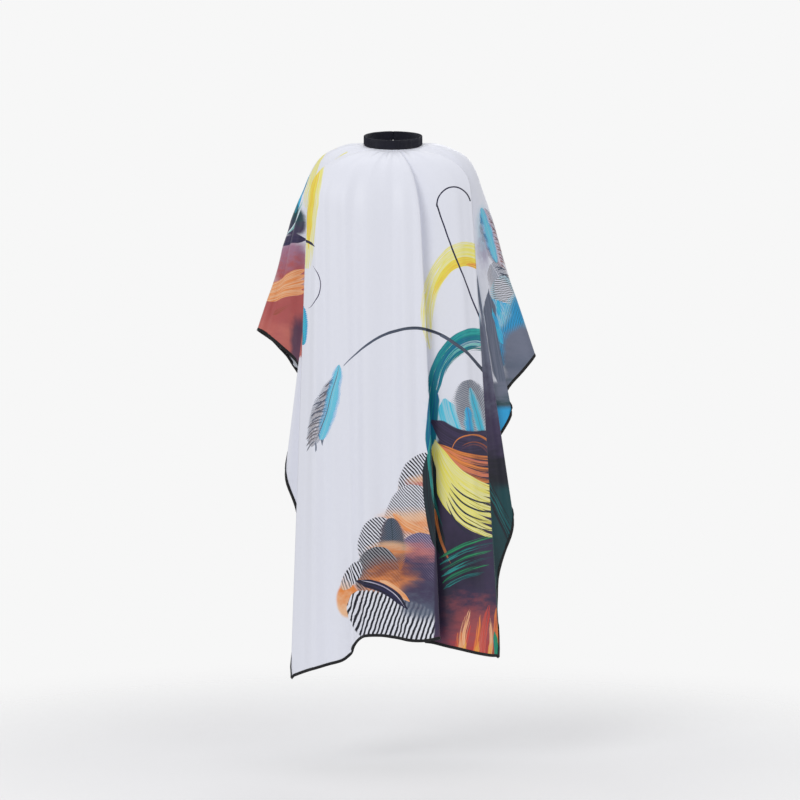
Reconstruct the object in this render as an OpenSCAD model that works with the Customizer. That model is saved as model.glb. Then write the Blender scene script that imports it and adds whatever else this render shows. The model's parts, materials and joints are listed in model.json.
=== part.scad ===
// Barber cape, worn: a rectangular printed cloth with a neck hole behind its middle,
// bound with black tape all round, gathered into an elastic neckband that opens at the back.
// The origin is the centre of the neckband. +Z is up, -Y is the wearer's front and +X is
// the right side as seen from the front. All lengths are millimetres.

/* [Cloth] */
// Width of the flat cloth, from side edge to side edge
cloth_w = 1320; // [1200:10:1400]
// Length of the flat cloth in front of the neck centre
front_l = 1200; // [1100:10:1300]
// Length of the flat cloth behind the neck centre
back_l = 720; // [650:10:800]
// Thickness of the cloth with its small creases
cloth_t = 0.6; // [0.4:0.1:1]
// Width of the black tape folded round every edge
tape_w = 7; // [5:0.5:10]
// Thickness of the tape and the cloth edge inside it
tape_t = 1.8; // [1.2:0.1:2.4]

/* [Neckband] */
// Inner radius of the closed neckband
neck_r = 64; // [60:0.5:70]
// Height of the neckband
band_h = 22; // [18:1:28]
// Thickness of one layer of the neckband casing
casing_t = 0.7; // [0.5:0.1:0.9]
// Thickness of the flat elastic inside the casing
elastic_t = 1.4; // [1:0.1:1.8]
// How far the neckband tips down to the front, in degrees
band_tilt = 14; // [8:1:20]
// Angle from the front to the place where a back half folds open
fold_angle = 132; // [126:1:138]

/* [Closure] */
// Diameter of a snap's outer cap
cap_d = 12.4; // [11:0.1:14]
// Diameter of a snap's socket and stud flange
snap_d = 11; // [9:0.1:12]
// Diameter of the stud's ball
ball_d = 3.6; // [3:0.1:4]
// Width of the closure tab
tab_h = 20; // [16:1:22]
// Distance along the band from the tab's fold to its snap
snap_reach = 22; // [20:1:26]

/* [Hidden] */

gap = 0.2;                                   // clearance between neighbouring pieces
$fn = 96;

// ---- The neckband's own frame ----

casing_out = neck_r + 2 * casing_t + elastic_t + 2 * gap;
fold_r = casing_out + 0.6;                   // radius of the line a back half folds about
cloth_r = neck_r + casing_t + elastic_t / 2; // radius of the gathered cloth edge
cloth_top = -band_h / 2 - 0.6;               // its height in the band's frame

function ring_point(a, r, z) = [
    r * sin(a),
    -r * cos(a) * cos(band_tilt) - z * sin(band_tilt),
    -r * cos(a) * sin(band_tilt) + z * cos(band_tilt)
];

module in_band() {
    rotate([band_tilt, 0, 0]) children();
}

module band_arc(a1, a2, r1, r2, h) {
    in_band()
        rotate([0, 0, a1 - 90])
            rotate_extrude(angle = a2 - a1)
                translate([r1, -h / 2])
                    square([r2 - r1, h]);
}

// ---- How the worn cloth hangs ----
// Each row is one line of the cloth that runs from the neck, over the shoulder, to an edge:
// [angle at the neck, shoulder or chest point x y z, edge point x y z as it hangs].
// The edge points are for a cloth 1320 wide, 1200 long in front and 720 long behind;
// other sizes stretch them sideways and downwards.

across = cloth_w / 1320;
forward = front_l / 1200;
rearward = back_l / 720;

lines_right = [
    [0, 0, -148, -190,    5, -172, -1128],
    [7, 42, -156, -200,    62, -186, -1134],
    [10, 63, -155, -210,    104, -184, -1127],
    [11, 59, -142, -208,    98, -166, -1131],
    [14, 48, -134, -205,    72, -152, -1138],
    [17, 64, -128, -200,    92, -142, -1143],
    [23, 118, -128, -175,    160, -158, -1158],
    [28, 156, -112, -140,    212, -148, -1170],
    [31, 178, -98, -120,    240, -128, -1174],
    [37, 160, -75, -140,    238, -104, -1000],
    [43, 165, -66, -135,    274, -84, -880],
    [48, 160, -58, -130,    252, -62, -800],
    [53, 162, -50, -125,    224, -66, -722],
    [60, 174, -40, -118,    271, -48, -632],
    [68, 182, -28, -110,    258, -36, -584],
    [80, 192, -12, -102,    300, -20, -532],
    [90, 199, 4, -96,    329, 2, -497],
    [98, 194, 24, -104,    264, 36, -574],
    [104, 180, 44, -112,    232, 60, -664],
    [110, 166, 62, -118,    214, 64, -758],
    [115, 154, 74, -122,    204, 78, -830],
    [119, 146, 84, -124,    264, 108, -885],
    [123, 116, 92, -128,    228, 136, -786],
    [127, 86, 86, -130,    164, 152, -694],
    [129, 62, 74, -128,    118, 160, -655]
];

lines_left = [
    [0, 0, -148, -190,    5, -172, -1128],
    [-6, -34, -150, -190,    -28, -168, -1124],
    [-11, -66, -150, -188,    -60, -174, -1124],
    [-15, -90, -144, -182,    -77, -160, -1134],
    [-18, -112, -142, -176,    -90, -154, -1160],
    [-21, -132, -136, -168,    -108, -166, -1178],
    [-25, -158, -126, -158,    -150, -164, -1191],
    [-29, -182, -112, -150,    -198, -150, -1207],
    [-32, -194, -98, -145,    -230, -126, -1222],
    [-37, -180, -80, -140,    -214, -98, -1000],
    [-43, -174, -72, -135,    -216, -88, -862],
    [-48, -168, -62, -130,    -246, -76, -765],
    [-54, -166, -52, -124,    -222, -60, -672],
    [-62, -172, -40, -118,    -206, -52, -585],
    [-70, -180, -26, -112,    -214, -40, -524],
    [-80, -190, -12, -108,    -264, -18, -472],
    [-90, -197, 4, -106,    -309, 2, -440],
    [-98, -192, 24, -110,    -246, 36, -500],
    [-104, -178, 44, -114,    -206, 58, -590],
    [-110, -164, 62, -118,    -198, 62, -700],
    [-115, -152, 74, -122,    -196, 78, -796],
    [-119, -144, 84, -124,    -208, 106, -838],
    [-123, -116, 92, -128,    -190, 136, -764],
    [-127, -86, 86, -130,    -152, 152, -688],
    [-129, -62, 74, -128,    -112, 160, -652]
];

front_corner = 8;    // index of the line that ends at the front corner
back_corner = 20;    // index of the line that ends at the back corner
last_line = len(lines_right) - 1;

function sized(row) =
    let (down = abs(row[0]) < 90 ? forward : rearward)
    [row[0], row[1], row[2], row[3], row[4] * across, row[5], row[6] * down];

// The fold line of a back half: a straight line of the cloth from the band to the hem
hem_fold = [84, 165, -640 * rearward];
fold_top = ring_point(fold_angle, fold_r, 0);
shoulder_share = 0.2;              // how far down the fold line its shoulder point is
fold_shoulder = fold_top * (1 - shoulder_share) + hem_fold * shoulder_share;
function fold_row(side) = [
    side * fold_angle,
    side * fold_shoulder[0], fold_shoulder[1], fold_shoulder[2],
    side * hem_fold[0], hem_fold[1], hem_fold[2]
];

function side_rows(side) = [
    for (row = (side > 0 ? lines_right : lines_left)) sized(row),
    fold_row(side)
];
rows_right = side_rows(1);
rows_left = side_rows(-1);

// A smooth curve through the rows, broken at the two corners of the cloth
function is_break(i) = i <= 0 || i == front_corner || i == back_corner || i > last_line;
function curve(p0, p1, p2, p3, f) =
    0.5 * (2 * p1 + (p2 - p0) * f + (2 * p0 - 5 * p1 + 4 * p2 - p3) * f * f
        + (3 * p1 - p0 - 3 * p2 + p3) * f * f * f);
function row_at(rows, k) =
    let (
        i = min(floor(k), len(rows) - 2),
        p1 = rows[i],
        p2 = rows[i + 1],
        p0 = is_break(i) ? 2 * p1 - p2 : rows[i - 1],
        p3 = is_break(i + 1) ? 2 * p2 - p1 : rows[i + 2]
    ) curve(p0, p1, p2, p3, k - i);

// A point on one line of the cloth: v runs from 0 at the neck over the shoulder to 1 at the edge
shoulder_v = 0.25;
chest_lift = 0.78;       // how square the bend over the chest and the back is
shoulder_lift = 1.2;     // the shoulders are squarer
function lift_at(a) = chest_lift + (shoulder_lift - chest_lift) * sin(a) * sin(a);
function line_point(row, v) =
    let (
        neck = ring_point(row[0], cloth_r, cloth_top),
        shoulder = [row[1], row[2], row[3]],
        edge = [row[4], row[5], row[6]],
        up = (shoulder - edge) / norm(shoulder - edge),
        above = shoulder + up * lift_at(row[0]) * (neck[2] - shoulder[2]),
        f = v / shoulder_v
    )
    v < shoulder_v
        ? neck * (1 - f) * (1 - f) + above * 2 * f * (1 - f) + shoulder * f * f
        : shoulder + (edge - shoulder) * (v - shoulder_v) / (1 - shoulder_v);

function hang_length(row) = norm([row[4], row[5], row[6]] - [row[1], row[2], row[3]]);

// ---- Thin solids that follow the cloth ----

// Normal at a grid point from its neighbours
function grid_normal(g, i, j) =
    let (
        a = g[min(i + 1, len(g) - 1)][j] - g[max(i - 1, 0)][j],
        b = g[i][min(j + 1, len(g[0]) - 1)] - g[i][max(j - 1, 0)],
        n = cross(a, b)
    ) n / norm(n);

// A closed shell of even thickness on both sides of a grid of points
module grid_shell(g, t) {
    m = len(g);
    n = len(g[0]);
    side = m * n;
    points = [
        for (face = [1, -1], i = [0 : m - 1], j = [0 : n - 1])
            g[i][j] + grid_normal(g, i, j) * face * t / 2
    ];
    faces = [
        for (i = [0 : m - 2], j = [0 : n - 2])
            let (p = i * n + j)
                each [
                    [p, p + n + 1, p + n], [p, p + 1, p + n + 1],
                    [side + p, side + p + n, side + p + n + 1],
                    [side + p, side + p + n + 1, side + p + 1]
                ],
        for (i = [0 : m - 2])
            let (p = i * n, q = i * n + n - 1)
                each [
                    [p, p + n, side + p + n], [p, side + p + n, side + p],
                    [q, side + q + n, q + n], [q, side + q, side + q + n]
                ],
        for (j = [0 : n - 2])
            let (p = j, q = (m - 1) * n + j)
                each [
                    [p, side + p + 1, p + 1], [p, side + p, side + p + 1],
                    [q, q + 1, side + q + 1], [q, side + q + 1, side + q]
                ]
    ];
    polyhedron(points, faces);
}

over_steps = 6;      // steps over the shoulder
hang_steps = 9;      // steps down the hanging part
line_steps = 3;      // steps between two listed lines

function cloth_steps(row) =
    let (last = 1 - (tape_w + gap) * (1 - shoulder_v) / hang_length(row))
    concat(
        [for (j = [0 : over_steps - 1]) shoulder_v * j / over_steps],
        [for (j = [0 : hang_steps]) shoulder_v + (last - shoulder_v) * j / hang_steps]
    );
function tape_steps(row) = [1 - tape_w * (1 - shoulder_v) / hang_length(row), 1];

function strip(rows, k1, k2) = [
    for (i = [0 : (k2 - k1) * line_steps]) row_at(rows, k1 + i / line_steps)
];
function cloth_grid(rows) = [
    for (row = rows) [for (v = cloth_steps(row)) line_point(row, v)]
];
function tape_grid(rows) = [
    for (row = rows) [for (v = tape_steps(row)) line_point(row, v)]
];
function reversed(list) = [for (i = [len(list) - 1 : -1 : 0]) list[i]];

// The cloth ends just short of each fold line
fold_gap = 2.5;          // distance kept at the shoulder and the hem
fold_gap_angle = 1.5;    // angle kept at the neck
function short_of_fold(rows) =
    let (
        n = len(rows),
        last = rows[n - 1],
        side = sign(last[0]),
        moved = [-fold_gap_angle, fold_gap, 0, 0, fold_gap, 0, 0] * side
    )
    [for (i = [0 : n - 1]) i < n - 1 ? rows[i] : last + moved];

right_strip = short_of_fold(strip(rows_right, 0, last_line + 1));
left_strip = short_of_fold(strip(rows_left, 0, last_line + 1));

module cape_cloth() {
    all_rows = concat(reversed(left_strip), [for (i = [1 : len(right_strip) - 1]) right_strip[i]]);
    color([0.9, 0.91, 0.96]) grid_shell(cloth_grid(all_rows), cloth_t);
}

module tape_along(rows) {
    color([0.05, 0.05, 0.07]) grid_shell(tape_grid(rows), tape_t);
}

module front_hem_tape() {
    left = reversed(strip(rows_left, 0, front_corner));
    right = strip(rows_right, 0, front_corner);
    tape_along(concat(left, [for (i = [1 : len(right) - 1]) right[i]]));
}

module side_tape(rows) {
    tape_along(strip(rows, front_corner, back_corner));
}

module back_hem_tape(rows) {
    tape_along(short_of_fold(strip(rows, back_corner, last_line + 1)));
}

// ---- The back halves beside the slit ----

flap_columns = 8;
flap_rows = 12;
slit_half = 1.5;
slit_hem = [slit_half, 174, -634 * rearward];

// f runs from 0 at the fold line to 1 at the slit, v from the neck to the hem
function flap_point(side, f, v) =
    let (
        a = fold_angle + 2.5 + f * (179 - fold_angle - 2.5),
        neck = ring_point(side * a, cloth_r, cloth_top),
        hem_x = (hem_fold[0] - fold_gap) * (1 - f) + slit_hem[0] * f,
        hem = [
            side * hem_x,
            hem_fold[1] + (slit_hem[1] - hem_fold[1]) * f,
            hem_fold[2] + (slit_hem[2] - hem_fold[2]) * f
        ]
    ) neck + (hem - neck) * v;

function flap_grid(side, f1, f2, v1, v2, m, n) = [
    for (i = [0 : m]) [
        for (j = [0 : n])
            flap_point(side, f1 + (f2 - f1) * i / m, v1 + (v2 - v1) * j / n)
    ]
];

flap_drop = norm(flap_point(1, 1, 1) - flap_point(1, 1, 0));
tape_v = tape_w / flap_drop;                          // tape width as a share of the drop
flap_hem_w = hem_fold[0] - fold_gap - slit_half;
tape_f = tape_w / flap_hem_w;                         // tape width as a share of the hem

module back_flap(side) {
    last_v = 1 - tape_v - gap / flap_drop;
    last_f = 1 - tape_f - gap / flap_hem_w;
    color([0.9, 0.91, 0.96])
        grid_shell(flap_grid(side, 0, last_f, 0, last_v, flap_columns, flap_rows), cloth_t);
}

module flap_tape(side) {
    color([0.05, 0.05, 0.07]) {
        grid_shell(flap_grid(side, 1 - tape_f, 1, 0, 1, 1, flap_rows), tape_t);
        grid_shell(
            flap_grid(side, 0, 1 - tape_f - gap / flap_hem_w, 1 - tape_v, 1, flap_columns, 1),
            tape_t
        );
    }
}

// ---- Neckband ----

front_end = fold_angle - 1.2;      // angle at which the front part of the band ends
back_start = fold_angle + 1.2;
back_end = 179;

module casing(a1, a2) {
    end = 1;                        // the casing closes over each end of the elastic
    color([0.06, 0.06, 0.09])
        difference() {
            band_arc(a1, a2, neck_r, casing_out, band_h);
            band_arc(
                a1 + end, a2 - end,
                neck_r + casing_t, casing_out - casing_t, band_h - 2 * casing_t
            );
        }
}

module elastic(a1, a2) {
    margin = 1.3;
    inner = neck_r + casing_t + gap;
    color([0.16, 0.16, 0.2])
        band_arc(a1 + margin, a2 - margin, inner, inner + elastic_t, band_h - 2 * casing_t - 2 * gap);
}

// ---- Closure tab and snaps, at the back of the band ----

socket_t = 2.6;                              // height of a socket above the casing
tab_layer = 0.7;                             // thickness of one layer of the tab
cap_t = 1;                                   // thickness of a snap cap
tab_in = casing_out + socket_t + 2 * gap + 0.8;
tab_mid = tab_in + tab_layer + gap;
tab_out = tab_mid + tab_layer;
snap_angle = 180 + snap_reach / casing_out * 180 / PI;
tab_start = 166;
tab_end = snap_angle + 8;
socket_pitch = 17;                           // angle between the two sockets

module at_angle(a, r) {
    in_band()
        rotate([0, 0, a - 90])
            translate([r, 0, 0])
                rotate([0, 90, 0])
                    children();
}

module tab_layer_arc(r) {
    difference() {
        band_arc(181, tab_end, r, r + tab_layer, tab_h);
        at_angle(snap_angle, r - 1) cylinder(d = ball_d + 0.6, h = tab_layer + 2);
    }
}

module tab_face() {
    color([0.06, 0.06, 0.09]) tab_layer_arc(tab_mid);
}

module tab_lining() {
    color([0.1, 0.1, 0.13]) tab_layer_arc(tab_in);
}

// The sewn end of the tab, on the right half of the band
module tab_anchor() {
    color([0.06, 0.06, 0.09])
        band_arc(tab_start, 180, casing_out + gap / 2, casing_out + gap / 2 + 2 * tab_layer, tab_h);
}

module snap_stud() {
    flange_t = 0.6;
    ball_l = 1.3;
    color([0.12, 0.12, 0.14])
        at_angle(snap_angle, tab_in - gap - flange_t) {
            cylinder(d = snap_d, h = flange_t);
            translate([0, 0, -ball_l]) cylinder(d = ball_d, h = ball_l);
        }
}

module snap_stud_cap() {
    post = tab_out - tab_in + 0.2;
    color([0.1, 0.1, 0.12])
        at_angle(snap_angle, tab_out + gap / 2) {
            cylinder(d = cap_d, h = cap_t);
            translate([0, 0, -post]) cylinder(d = ball_d, h = post);
        }
}

module snap_sockets() {
    hole_d = ball_d + 1.6;
    color([0.12, 0.12, 0.14])
        for (i = [0, 1])
            at_angle(snap_angle + i * socket_pitch, casing_out + gap)
                difference() {
                    cylinder(d = snap_d, h = socket_t);
                    translate([0, 0, 0.6]) cylinder(d = hole_d, h = socket_t);
                }
}

module snap_socket_caps() {
    color([0.1, 0.1, 0.12])
        for (i = [0, 1])
            at_angle(snap_angle + i * socket_pitch, casing_out - casing_t)
                cylinder(d = cap_d, h = 0.4);
}

// ---- Small sewn-in pieces ----

// A loop of tape that hangs outside the band, behind the wearer's neck
loop_angle = 150;
loop_r = casing_out + 1;
loop_lean = 3;                               // how far the loop leans off the band, in degrees
module hanging_loop() {
    loop_w = 6;
    loop_l = 46;
    loop_t = 1;
    color([0.06, 0.06, 0.09])
        at_angle(loop_angle, loop_r)
            rotate([0, -loop_lean, 0])
                translate([0, -loop_w * 1.5, 0])
                    difference() {
                        cube([loop_l, loop_w * 3, loop_t]);
                        translate([loop_w, loop_w, -1]) cube([loop_l - 2 * loop_w, loop_w, loop_t + 2]);
                    }
}

// A blank label sewn inside the cloth, below the band
label_angle = -150;
label_r = neck_r - 2;
label_drop = 10;                             // from the band's lower edge to the label's top
label_lean = 7;                              // how far the label leans in, in degrees
module care_label() {
    label_w = 18;
    label_l = 30;
    label_t = 0.4;
    color([0.95, 0.95, 0.95])
        at_angle(label_angle, label_r)
            translate([band_h / 2 + label_drop, -label_w / 2, 0])
                rotate([0, label_lean, 0])
                    cube([label_l, label_w, label_t]);
}

module band_casing_front() {
    casing(-front_end, front_end);
}

module band_casing_right() {
    casing(back_start, back_end);
}

module band_casing_left() {
    casing(360 - back_end, 360 - back_start);
}

module elastic_front() {
    elastic(-front_end, front_end);
}

module elastic_right() {
    elastic(back_start, back_end);
}

module elastic_left() {
    elastic(360 - back_end, 360 - back_start);
}

cape_cloth();
back_flap(-1);  // back_flap_left
back_flap(1);  // back_flap_right
front_hem_tape();
side_tape(rows_left);  // side_tape_left
side_tape(rows_right);  // side_tape_right
back_hem_tape(rows_left);  // back_hem_tape_left
back_hem_tape(rows_right);  // back_hem_tape_right
flap_tape(-1);  // flap_tape_left
flap_tape(1);  // flap_tape_right
band_casing_front();
band_casing_left();
band_casing_right();
elastic_front();
elastic_left();
elastic_right();
tab_face();
tab_lining();
tab_anchor();
snap_stud();
snap_stud_cap();
snap_sockets();
snap_socket_caps();
hanging_loop();
care_label();
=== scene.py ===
"""Barber cape, worn: the cloth, tapes, neckband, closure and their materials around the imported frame."""
import json
import math

import bmesh
import bpy
import numpy as np
from mathutils import Matrix


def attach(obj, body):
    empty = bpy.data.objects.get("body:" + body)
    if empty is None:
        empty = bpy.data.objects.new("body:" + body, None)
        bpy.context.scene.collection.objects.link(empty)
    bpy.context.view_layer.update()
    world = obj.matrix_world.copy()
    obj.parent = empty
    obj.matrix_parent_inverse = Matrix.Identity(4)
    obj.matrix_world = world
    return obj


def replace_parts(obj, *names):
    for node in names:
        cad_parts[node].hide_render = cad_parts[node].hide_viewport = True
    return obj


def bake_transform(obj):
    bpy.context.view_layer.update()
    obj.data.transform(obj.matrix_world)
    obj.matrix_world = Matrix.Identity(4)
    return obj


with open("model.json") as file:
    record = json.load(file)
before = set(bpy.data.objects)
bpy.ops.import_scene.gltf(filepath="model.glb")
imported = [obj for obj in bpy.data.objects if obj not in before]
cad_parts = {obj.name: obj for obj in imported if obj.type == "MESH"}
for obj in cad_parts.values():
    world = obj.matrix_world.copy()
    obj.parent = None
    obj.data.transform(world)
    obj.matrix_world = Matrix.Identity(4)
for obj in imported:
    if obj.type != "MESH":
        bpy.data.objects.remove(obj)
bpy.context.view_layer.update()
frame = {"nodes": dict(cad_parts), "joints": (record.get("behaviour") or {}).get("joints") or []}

RNG = np.random.default_rng(7)

# ---------------------------------------------------------------- driving sizes, metres

NECK_R = 0.064                   # inner radius of the neckband
BAND_H = 0.022
BAND_OUT = 0.0672                # outer radius of the casing
CLOTH_R = 0.0654                 # radius of the gathered cloth edge
TILT = math.radians(14)          # how far the band tips down to the front
FOLD_ANGLE = 132                 # degrees round the band to a back half's fold line
SLIT_ANGLE = 179
CLOTH_T = 0.0006
TAPE_W = 0.007
TAPE_T = 0.0017
TAPE_BULGE = 0.0001              # swell of a tape's flat faces
STITCH_PITCH = 0.0034
STITCH_HALF = STITCH_PITCH * 0.34
STITCH_INSET = 0.0013            # from the tape's inner edge to its stitches
STITCH_R = 0.00028
THREAD_SUNK = 0.0001             # how much lower than its middle a stitch's ends are
RUFFLE_PITCH = 0.0031
RUFFLE_DEPTH = 0.0007
RIM_RUFFLE = 0.0004              # the same for the casing's upper and lower edge
SEAM_Z = -0.0075                 # height of the neckband's row of stitches
SEAM_LIFT = 0.0006               # how far stitches stand off a ruffled or doubled piece
LIP_R = 0.0016                   # radius of the rolled edge of the cloth under the band
MM = 0.001

# The closure, loop and label; angles are degrees round the band from the front
SNAP_ANGLE = 180 + math.degrees(0.022 / BAND_OUT)
SNAP_R = 0.005                   # radius at which a snap's texture keeps its scale
SOCKET_PITCH = 17
TAB_START = 166
TAB_END = SNAP_ANGLE + 8
TAB_LOW_R = 0.0681               # radius of the tab's middle where it is sewn on
TAB_R = 0.0718                   # the same where it is free and lies over the snaps
TAB_T = 0.0016
TAB_H = 0.020
TAB_SEAM = 0.0022                # from the tab's edge to its stitches
LOOP_ANGLE = 150
LOOP_LEG = 0.037
LOOP_W = 0.006                   # width of the loop's tape, and half the distance between its legs
LABEL_ANGLE = -150
LABEL_L = 0.030
LABEL_W = 0.018
LABEL_T = 0.0004
LABEL_LEAN = math.radians(10)

# Mesh density: listed lines to simulated columns, and those to shown columns and rows
PER_LINE = 4
FINE = 2
SHOULDER_ROWS = 10
HANGING_ROWS = 39

# Small gathers under the band: pitch and depth of each wave, and the shares of a line over which
# they grow and then fade
GATHERS = [(0.0125, 0.0018), (0.0074, 0.0008)]
GATHER_START = 0.02
GATHER_V = 0.22

# Soft upright folds, and how firmly the parts of the cloth are pinned while it settles, 0 to 1
SOFT_PITCH = 0.085
SOFT_DEPTH = 0.0060
PIN_SOFT = 0.20
PIN_FOLDS = 0.60
PIN_WINGS = 0.50
PIN_SHOULDER = 0.70
PIN_SLIT = 0.95
PIN_EDGE = 0.60
CLOTH_SHRINK = 0.008
SETTLE_FRAMES = 36
EVEN_PASSES = 3
TRUNK = [                        # height, half width, front and back of the wearer's trunk
    (-0.10, 0.120, -0.078, 0.046), (-0.16, 0.140, -0.100, 0.054), (-0.24, 0.138, -0.108, 0.066),
    (-0.34, 0.130, -0.104, 0.080), (-0.46, 0.120, -0.098, 0.088), (-0.60, 0.130, -0.100, 0.092),
    (-0.75, 0.130, -0.100, 0.090), (-0.90, 0.110, -0.090, 0.080),
]
HANDS = {1: (0.256, 0, -0.40), -1: (-0.236, 0, -0.35)}     # by side: 1 is +X, -1 is -X

# Lines of the cloth from the neck to its edge, as in the CAD model: angle at the neck in
# degrees, then the shoulder point x y z and the edge point x y z in millimetres.
LINES_RIGHT = [
    (0, 0, -148, -190, 5, -172, -1128),
    (7, 42, -156, -200, 62, -186, -1134),
    (10, 63, -155, -210, 104, -184, -1127),
    (11, 59, -142, -208, 98, -166, -1131),
    (14, 48, -134, -205, 72, -152, -1138),
    (17, 64, -128, -200, 92, -142, -1143),
    (23, 118, -128, -175, 160, -158, -1158),
    (28, 156, -112, -140, 212, -148, -1170),
    (31, 178, -98, -120, 240, -128, -1174),
    (37, 160, -75, -140, 238, -104, -1000),
    (43, 165, -66, -135, 274, -84, -880),
    (48, 160, -58, -130, 252, -62, -800),
    (53, 162, -50, -125, 224, -66, -722),
    (60, 174, -40, -118, 271, -48, -632),
    (68, 182, -28, -110, 258, -36, -584),
    (80, 192, -12, -102, 300, -20, -532),
    (90, 199, 4, -96, 329, 2, -497),
    (98, 194, 24, -104, 264, 36, -574),
    (104, 180, 44, -112, 232, 60, -664),
    (110, 166, 62, -118, 214, 64, -758),
    (115, 154, 74, -122, 204, 78, -830),
    (119, 146, 84, -124, 264, 108, -885),
    (123, 116, 92, -128, 228, 136, -786),
    (127, 86, 86, -130, 164, 152, -694),
    (129, 62, 74, -128, 118, 160, -655),
]
LINES_LEFT = [
    (0, 0, -148, -190, 5, -172, -1128),
    (-6, -34, -150, -190, -28, -168, -1124),
    (-11, -66, -150, -188, -60, -174, -1124),
    (-15, -90, -144, -182, -77, -160, -1134),
    (-18, -112, -142, -176, -90, -154, -1160),
    (-21, -132, -136, -168, -108, -166, -1178),
    (-25, -158, -126, -158, -150, -164, -1191),
    (-29, -182, -112, -150, -198, -150, -1207),
    (-32, -194, -98, -145, -230, -126, -1222),
    (-37, -180, -80, -140, -214, -98, -1000),
    (-43, -174, -72, -135, -216, -88, -862),
    (-48, -168, -62, -130, -246, -76, -765),
    (-54, -166, -52, -124, -222, -60, -672),
    (-62, -172, -40, -118, -206, -52, -585),
    (-70, -180, -26, -112, -214, -40, -524),
    (-80, -190, -12, -108, -264, -18, -472),
    (-90, -197, 4, -106, -309, 2, -440),
    (-98, -192, 24, -110, -246, 36, -500),
    (-104, -178, 44, -114, -206, 58, -590),
    (-110, -164, 62, -118, -198, 62, -700),
    (-115, -152, 74, -122, -196, 78, -796),
    (-119, -144, 84, -124, -208, 106, -838),
    (-123, -116, 92, -128, -190, 136, -764),
    (-127, -86, 86, -130, -152, 152, -688),
    (-129, -62, 74, -128, -112, 160, -652),
]
FRONT_CORNER = 8                 # the line that ends at the front corner of the cloth
WING_TIP = 16                    # the line that ends at the tip over the forearm
BACK_CORNER = 20
SPLIT_LINE = 22                  # the line where a back half's panel starts
LAST_LINES = (FRONT_CORNER, 11.5, 17.5)      # the last line of the front, of the folds and of the wings
FOLD_LINE = 25                   # the line a back half folds about
SLIT_LINE = 26                   # the edge of the slit
HEM_FOLD = (84, 165, -640)       # where the fold line and the slit meet the hem, millimetres
SLIT_HEM = (1.5, 174, -634)
SHOULDER_V = 0.25                # share of a line that lies over the shoulder
BACK_SHOULDER = 0.2              # how far down the fold line and the slit their shoulder points are
SHOULDER_LIFT = 0.78             # how full the curve over the shoulder is, and how much more at the sides
SIDE_LIFT = 0.42


def ring_point(angle, r, z):
    """Points of the neckband's frame: angle in degrees from the front, radius and height."""
    a = np.radians(angle)
    y = -r * np.cos(a)
    return np.stack([r * np.sin(a), y * math.cos(TILT) - z * math.sin(TILT),
                     y * math.sin(TILT) + z * math.cos(TILT)], axis=-1)


# ---------------------------------------------------------------- the hanging cloth

def cloth_lines(rows, side):
    """The listed lines of one side, then the fold line and the slit, as an array in metres."""
    lines = [list(row) for row in rows]
    for angle, hem in ((FOLD_ANGLE, HEM_FOLD), (SLIT_ANGLE, SLIT_HEM)):
        top = ring_point(angle, BAND_OUT / MM, 0.0)
        shoulder = [top[i] * (1 - BACK_SHOULDER) + hem[i] * BACK_SHOULDER for i in range(3)]
        lines.append([side * angle, side * shoulder[0], *shoulder[1:], side * hem[0], *hem[1:]])
    table = np.array(lines, dtype=float)
    table[:, 1:] *= MM
    return table


def curve(p0, p1, p2, p3, f):
    """Catmull-Rom curve from p1 to p2."""
    return 0.5 * (2 * p1 + (p2 - p0) * f + (2 * p0 - 5 * p1 + 4 * p2 - p3) * f * f
                  + (3 * p1 - p0 - 3 * p2 + p3) * f ** 3)


def along_lines(table, k):
    """Values on a smooth curve through the lines, broken at the cloth's corners and at the fold."""
    breaks = {0, FRONT_CORNER, BACK_CORNER, FOLD_LINE, SLIT_LINE}
    out = []
    for value in k:
        i = min(int(value), SLIT_LINE - 1)
        p1, p2 = table[i], table[i + 1]
        p0 = 2 * p1 - p2 if i in breaks else table[i - 1]
        p3 = 2 * p2 - p1 if i + 1 in breaks else table[i + 2]
        out.append(curve(p0, p1, p2, p3, value - i))
    return np.array(out)


def line_points(rows, v):
    """Grid of points: one row of the result for each line, v from 0 at the neck to 1 at the edge."""
    angle = rows[:, 0]
    neck = ring_point(angle, CLOTH_R, -BAND_H / 2 - 0.0006)[:, None, :]
    shoulder = rows[:, None, 1:4]
    edge = rows[:, None, 4:7]
    up = (shoulder - edge) / np.linalg.norm(shoulder - edge, axis=2, keepdims=True)
    lift = SHOULDER_LIFT + SIDE_LIFT * np.sin(np.radians(angle)) ** 2
    above = shoulder + up * lift[:, None, None] * (neck[..., 2:] - shoulder[..., 2:])
    f = np.clip(v / SHOULDER_V, 0, 1)[None, :, None]
    over = neck * (1 - f) ** 2 + above * 2 * f * (1 - f) + shoulder * f ** 2
    hang = shoulder + (edge - shoulder) * (np.clip(v - SHOULDER_V, 0, 1) / (1 - SHOULDER_V))[None, :, None]
    return np.where((v < SHOULDER_V)[None, :, None], over, hang)


def drape_grid(per_line, v):
    """The whole cloth from the left side of the slit, round the front, to its right side."""
    k = np.linspace(0, SLIT_LINE, SLIT_LINE * per_line + 1)
    right = line_points(along_lines(cloth_lines(LINES_RIGHT, 1), k), v)
    left = line_points(along_lines(cloth_lines(LINES_LEFT, -1), k), v)
    signed_k = np.concatenate([-k[:0:-1], k])
    return signed_k, np.concatenate([left[:0:-1], right])


# ---------------------------------------------------------------- mesh helpers

def grid_faces(m, n, base=0, flip=False, wrap=False):
    """Quads over a grid of m by n points; wrap joins the last column of points to the first."""
    i, j = np.meshgrid(np.arange(m - 1), np.arange(n if wrap else n - 1), indexing="ij")
    j2 = (j + 1) % n
    quads = np.stack([i * n + j, (i + 1) * n + j, (i + 1) * n + j2, i * n + j2], axis=-1).reshape(-1, 4)
    return base + (quads[:, [0, 3, 2, 1]] if flip else quads)


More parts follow.
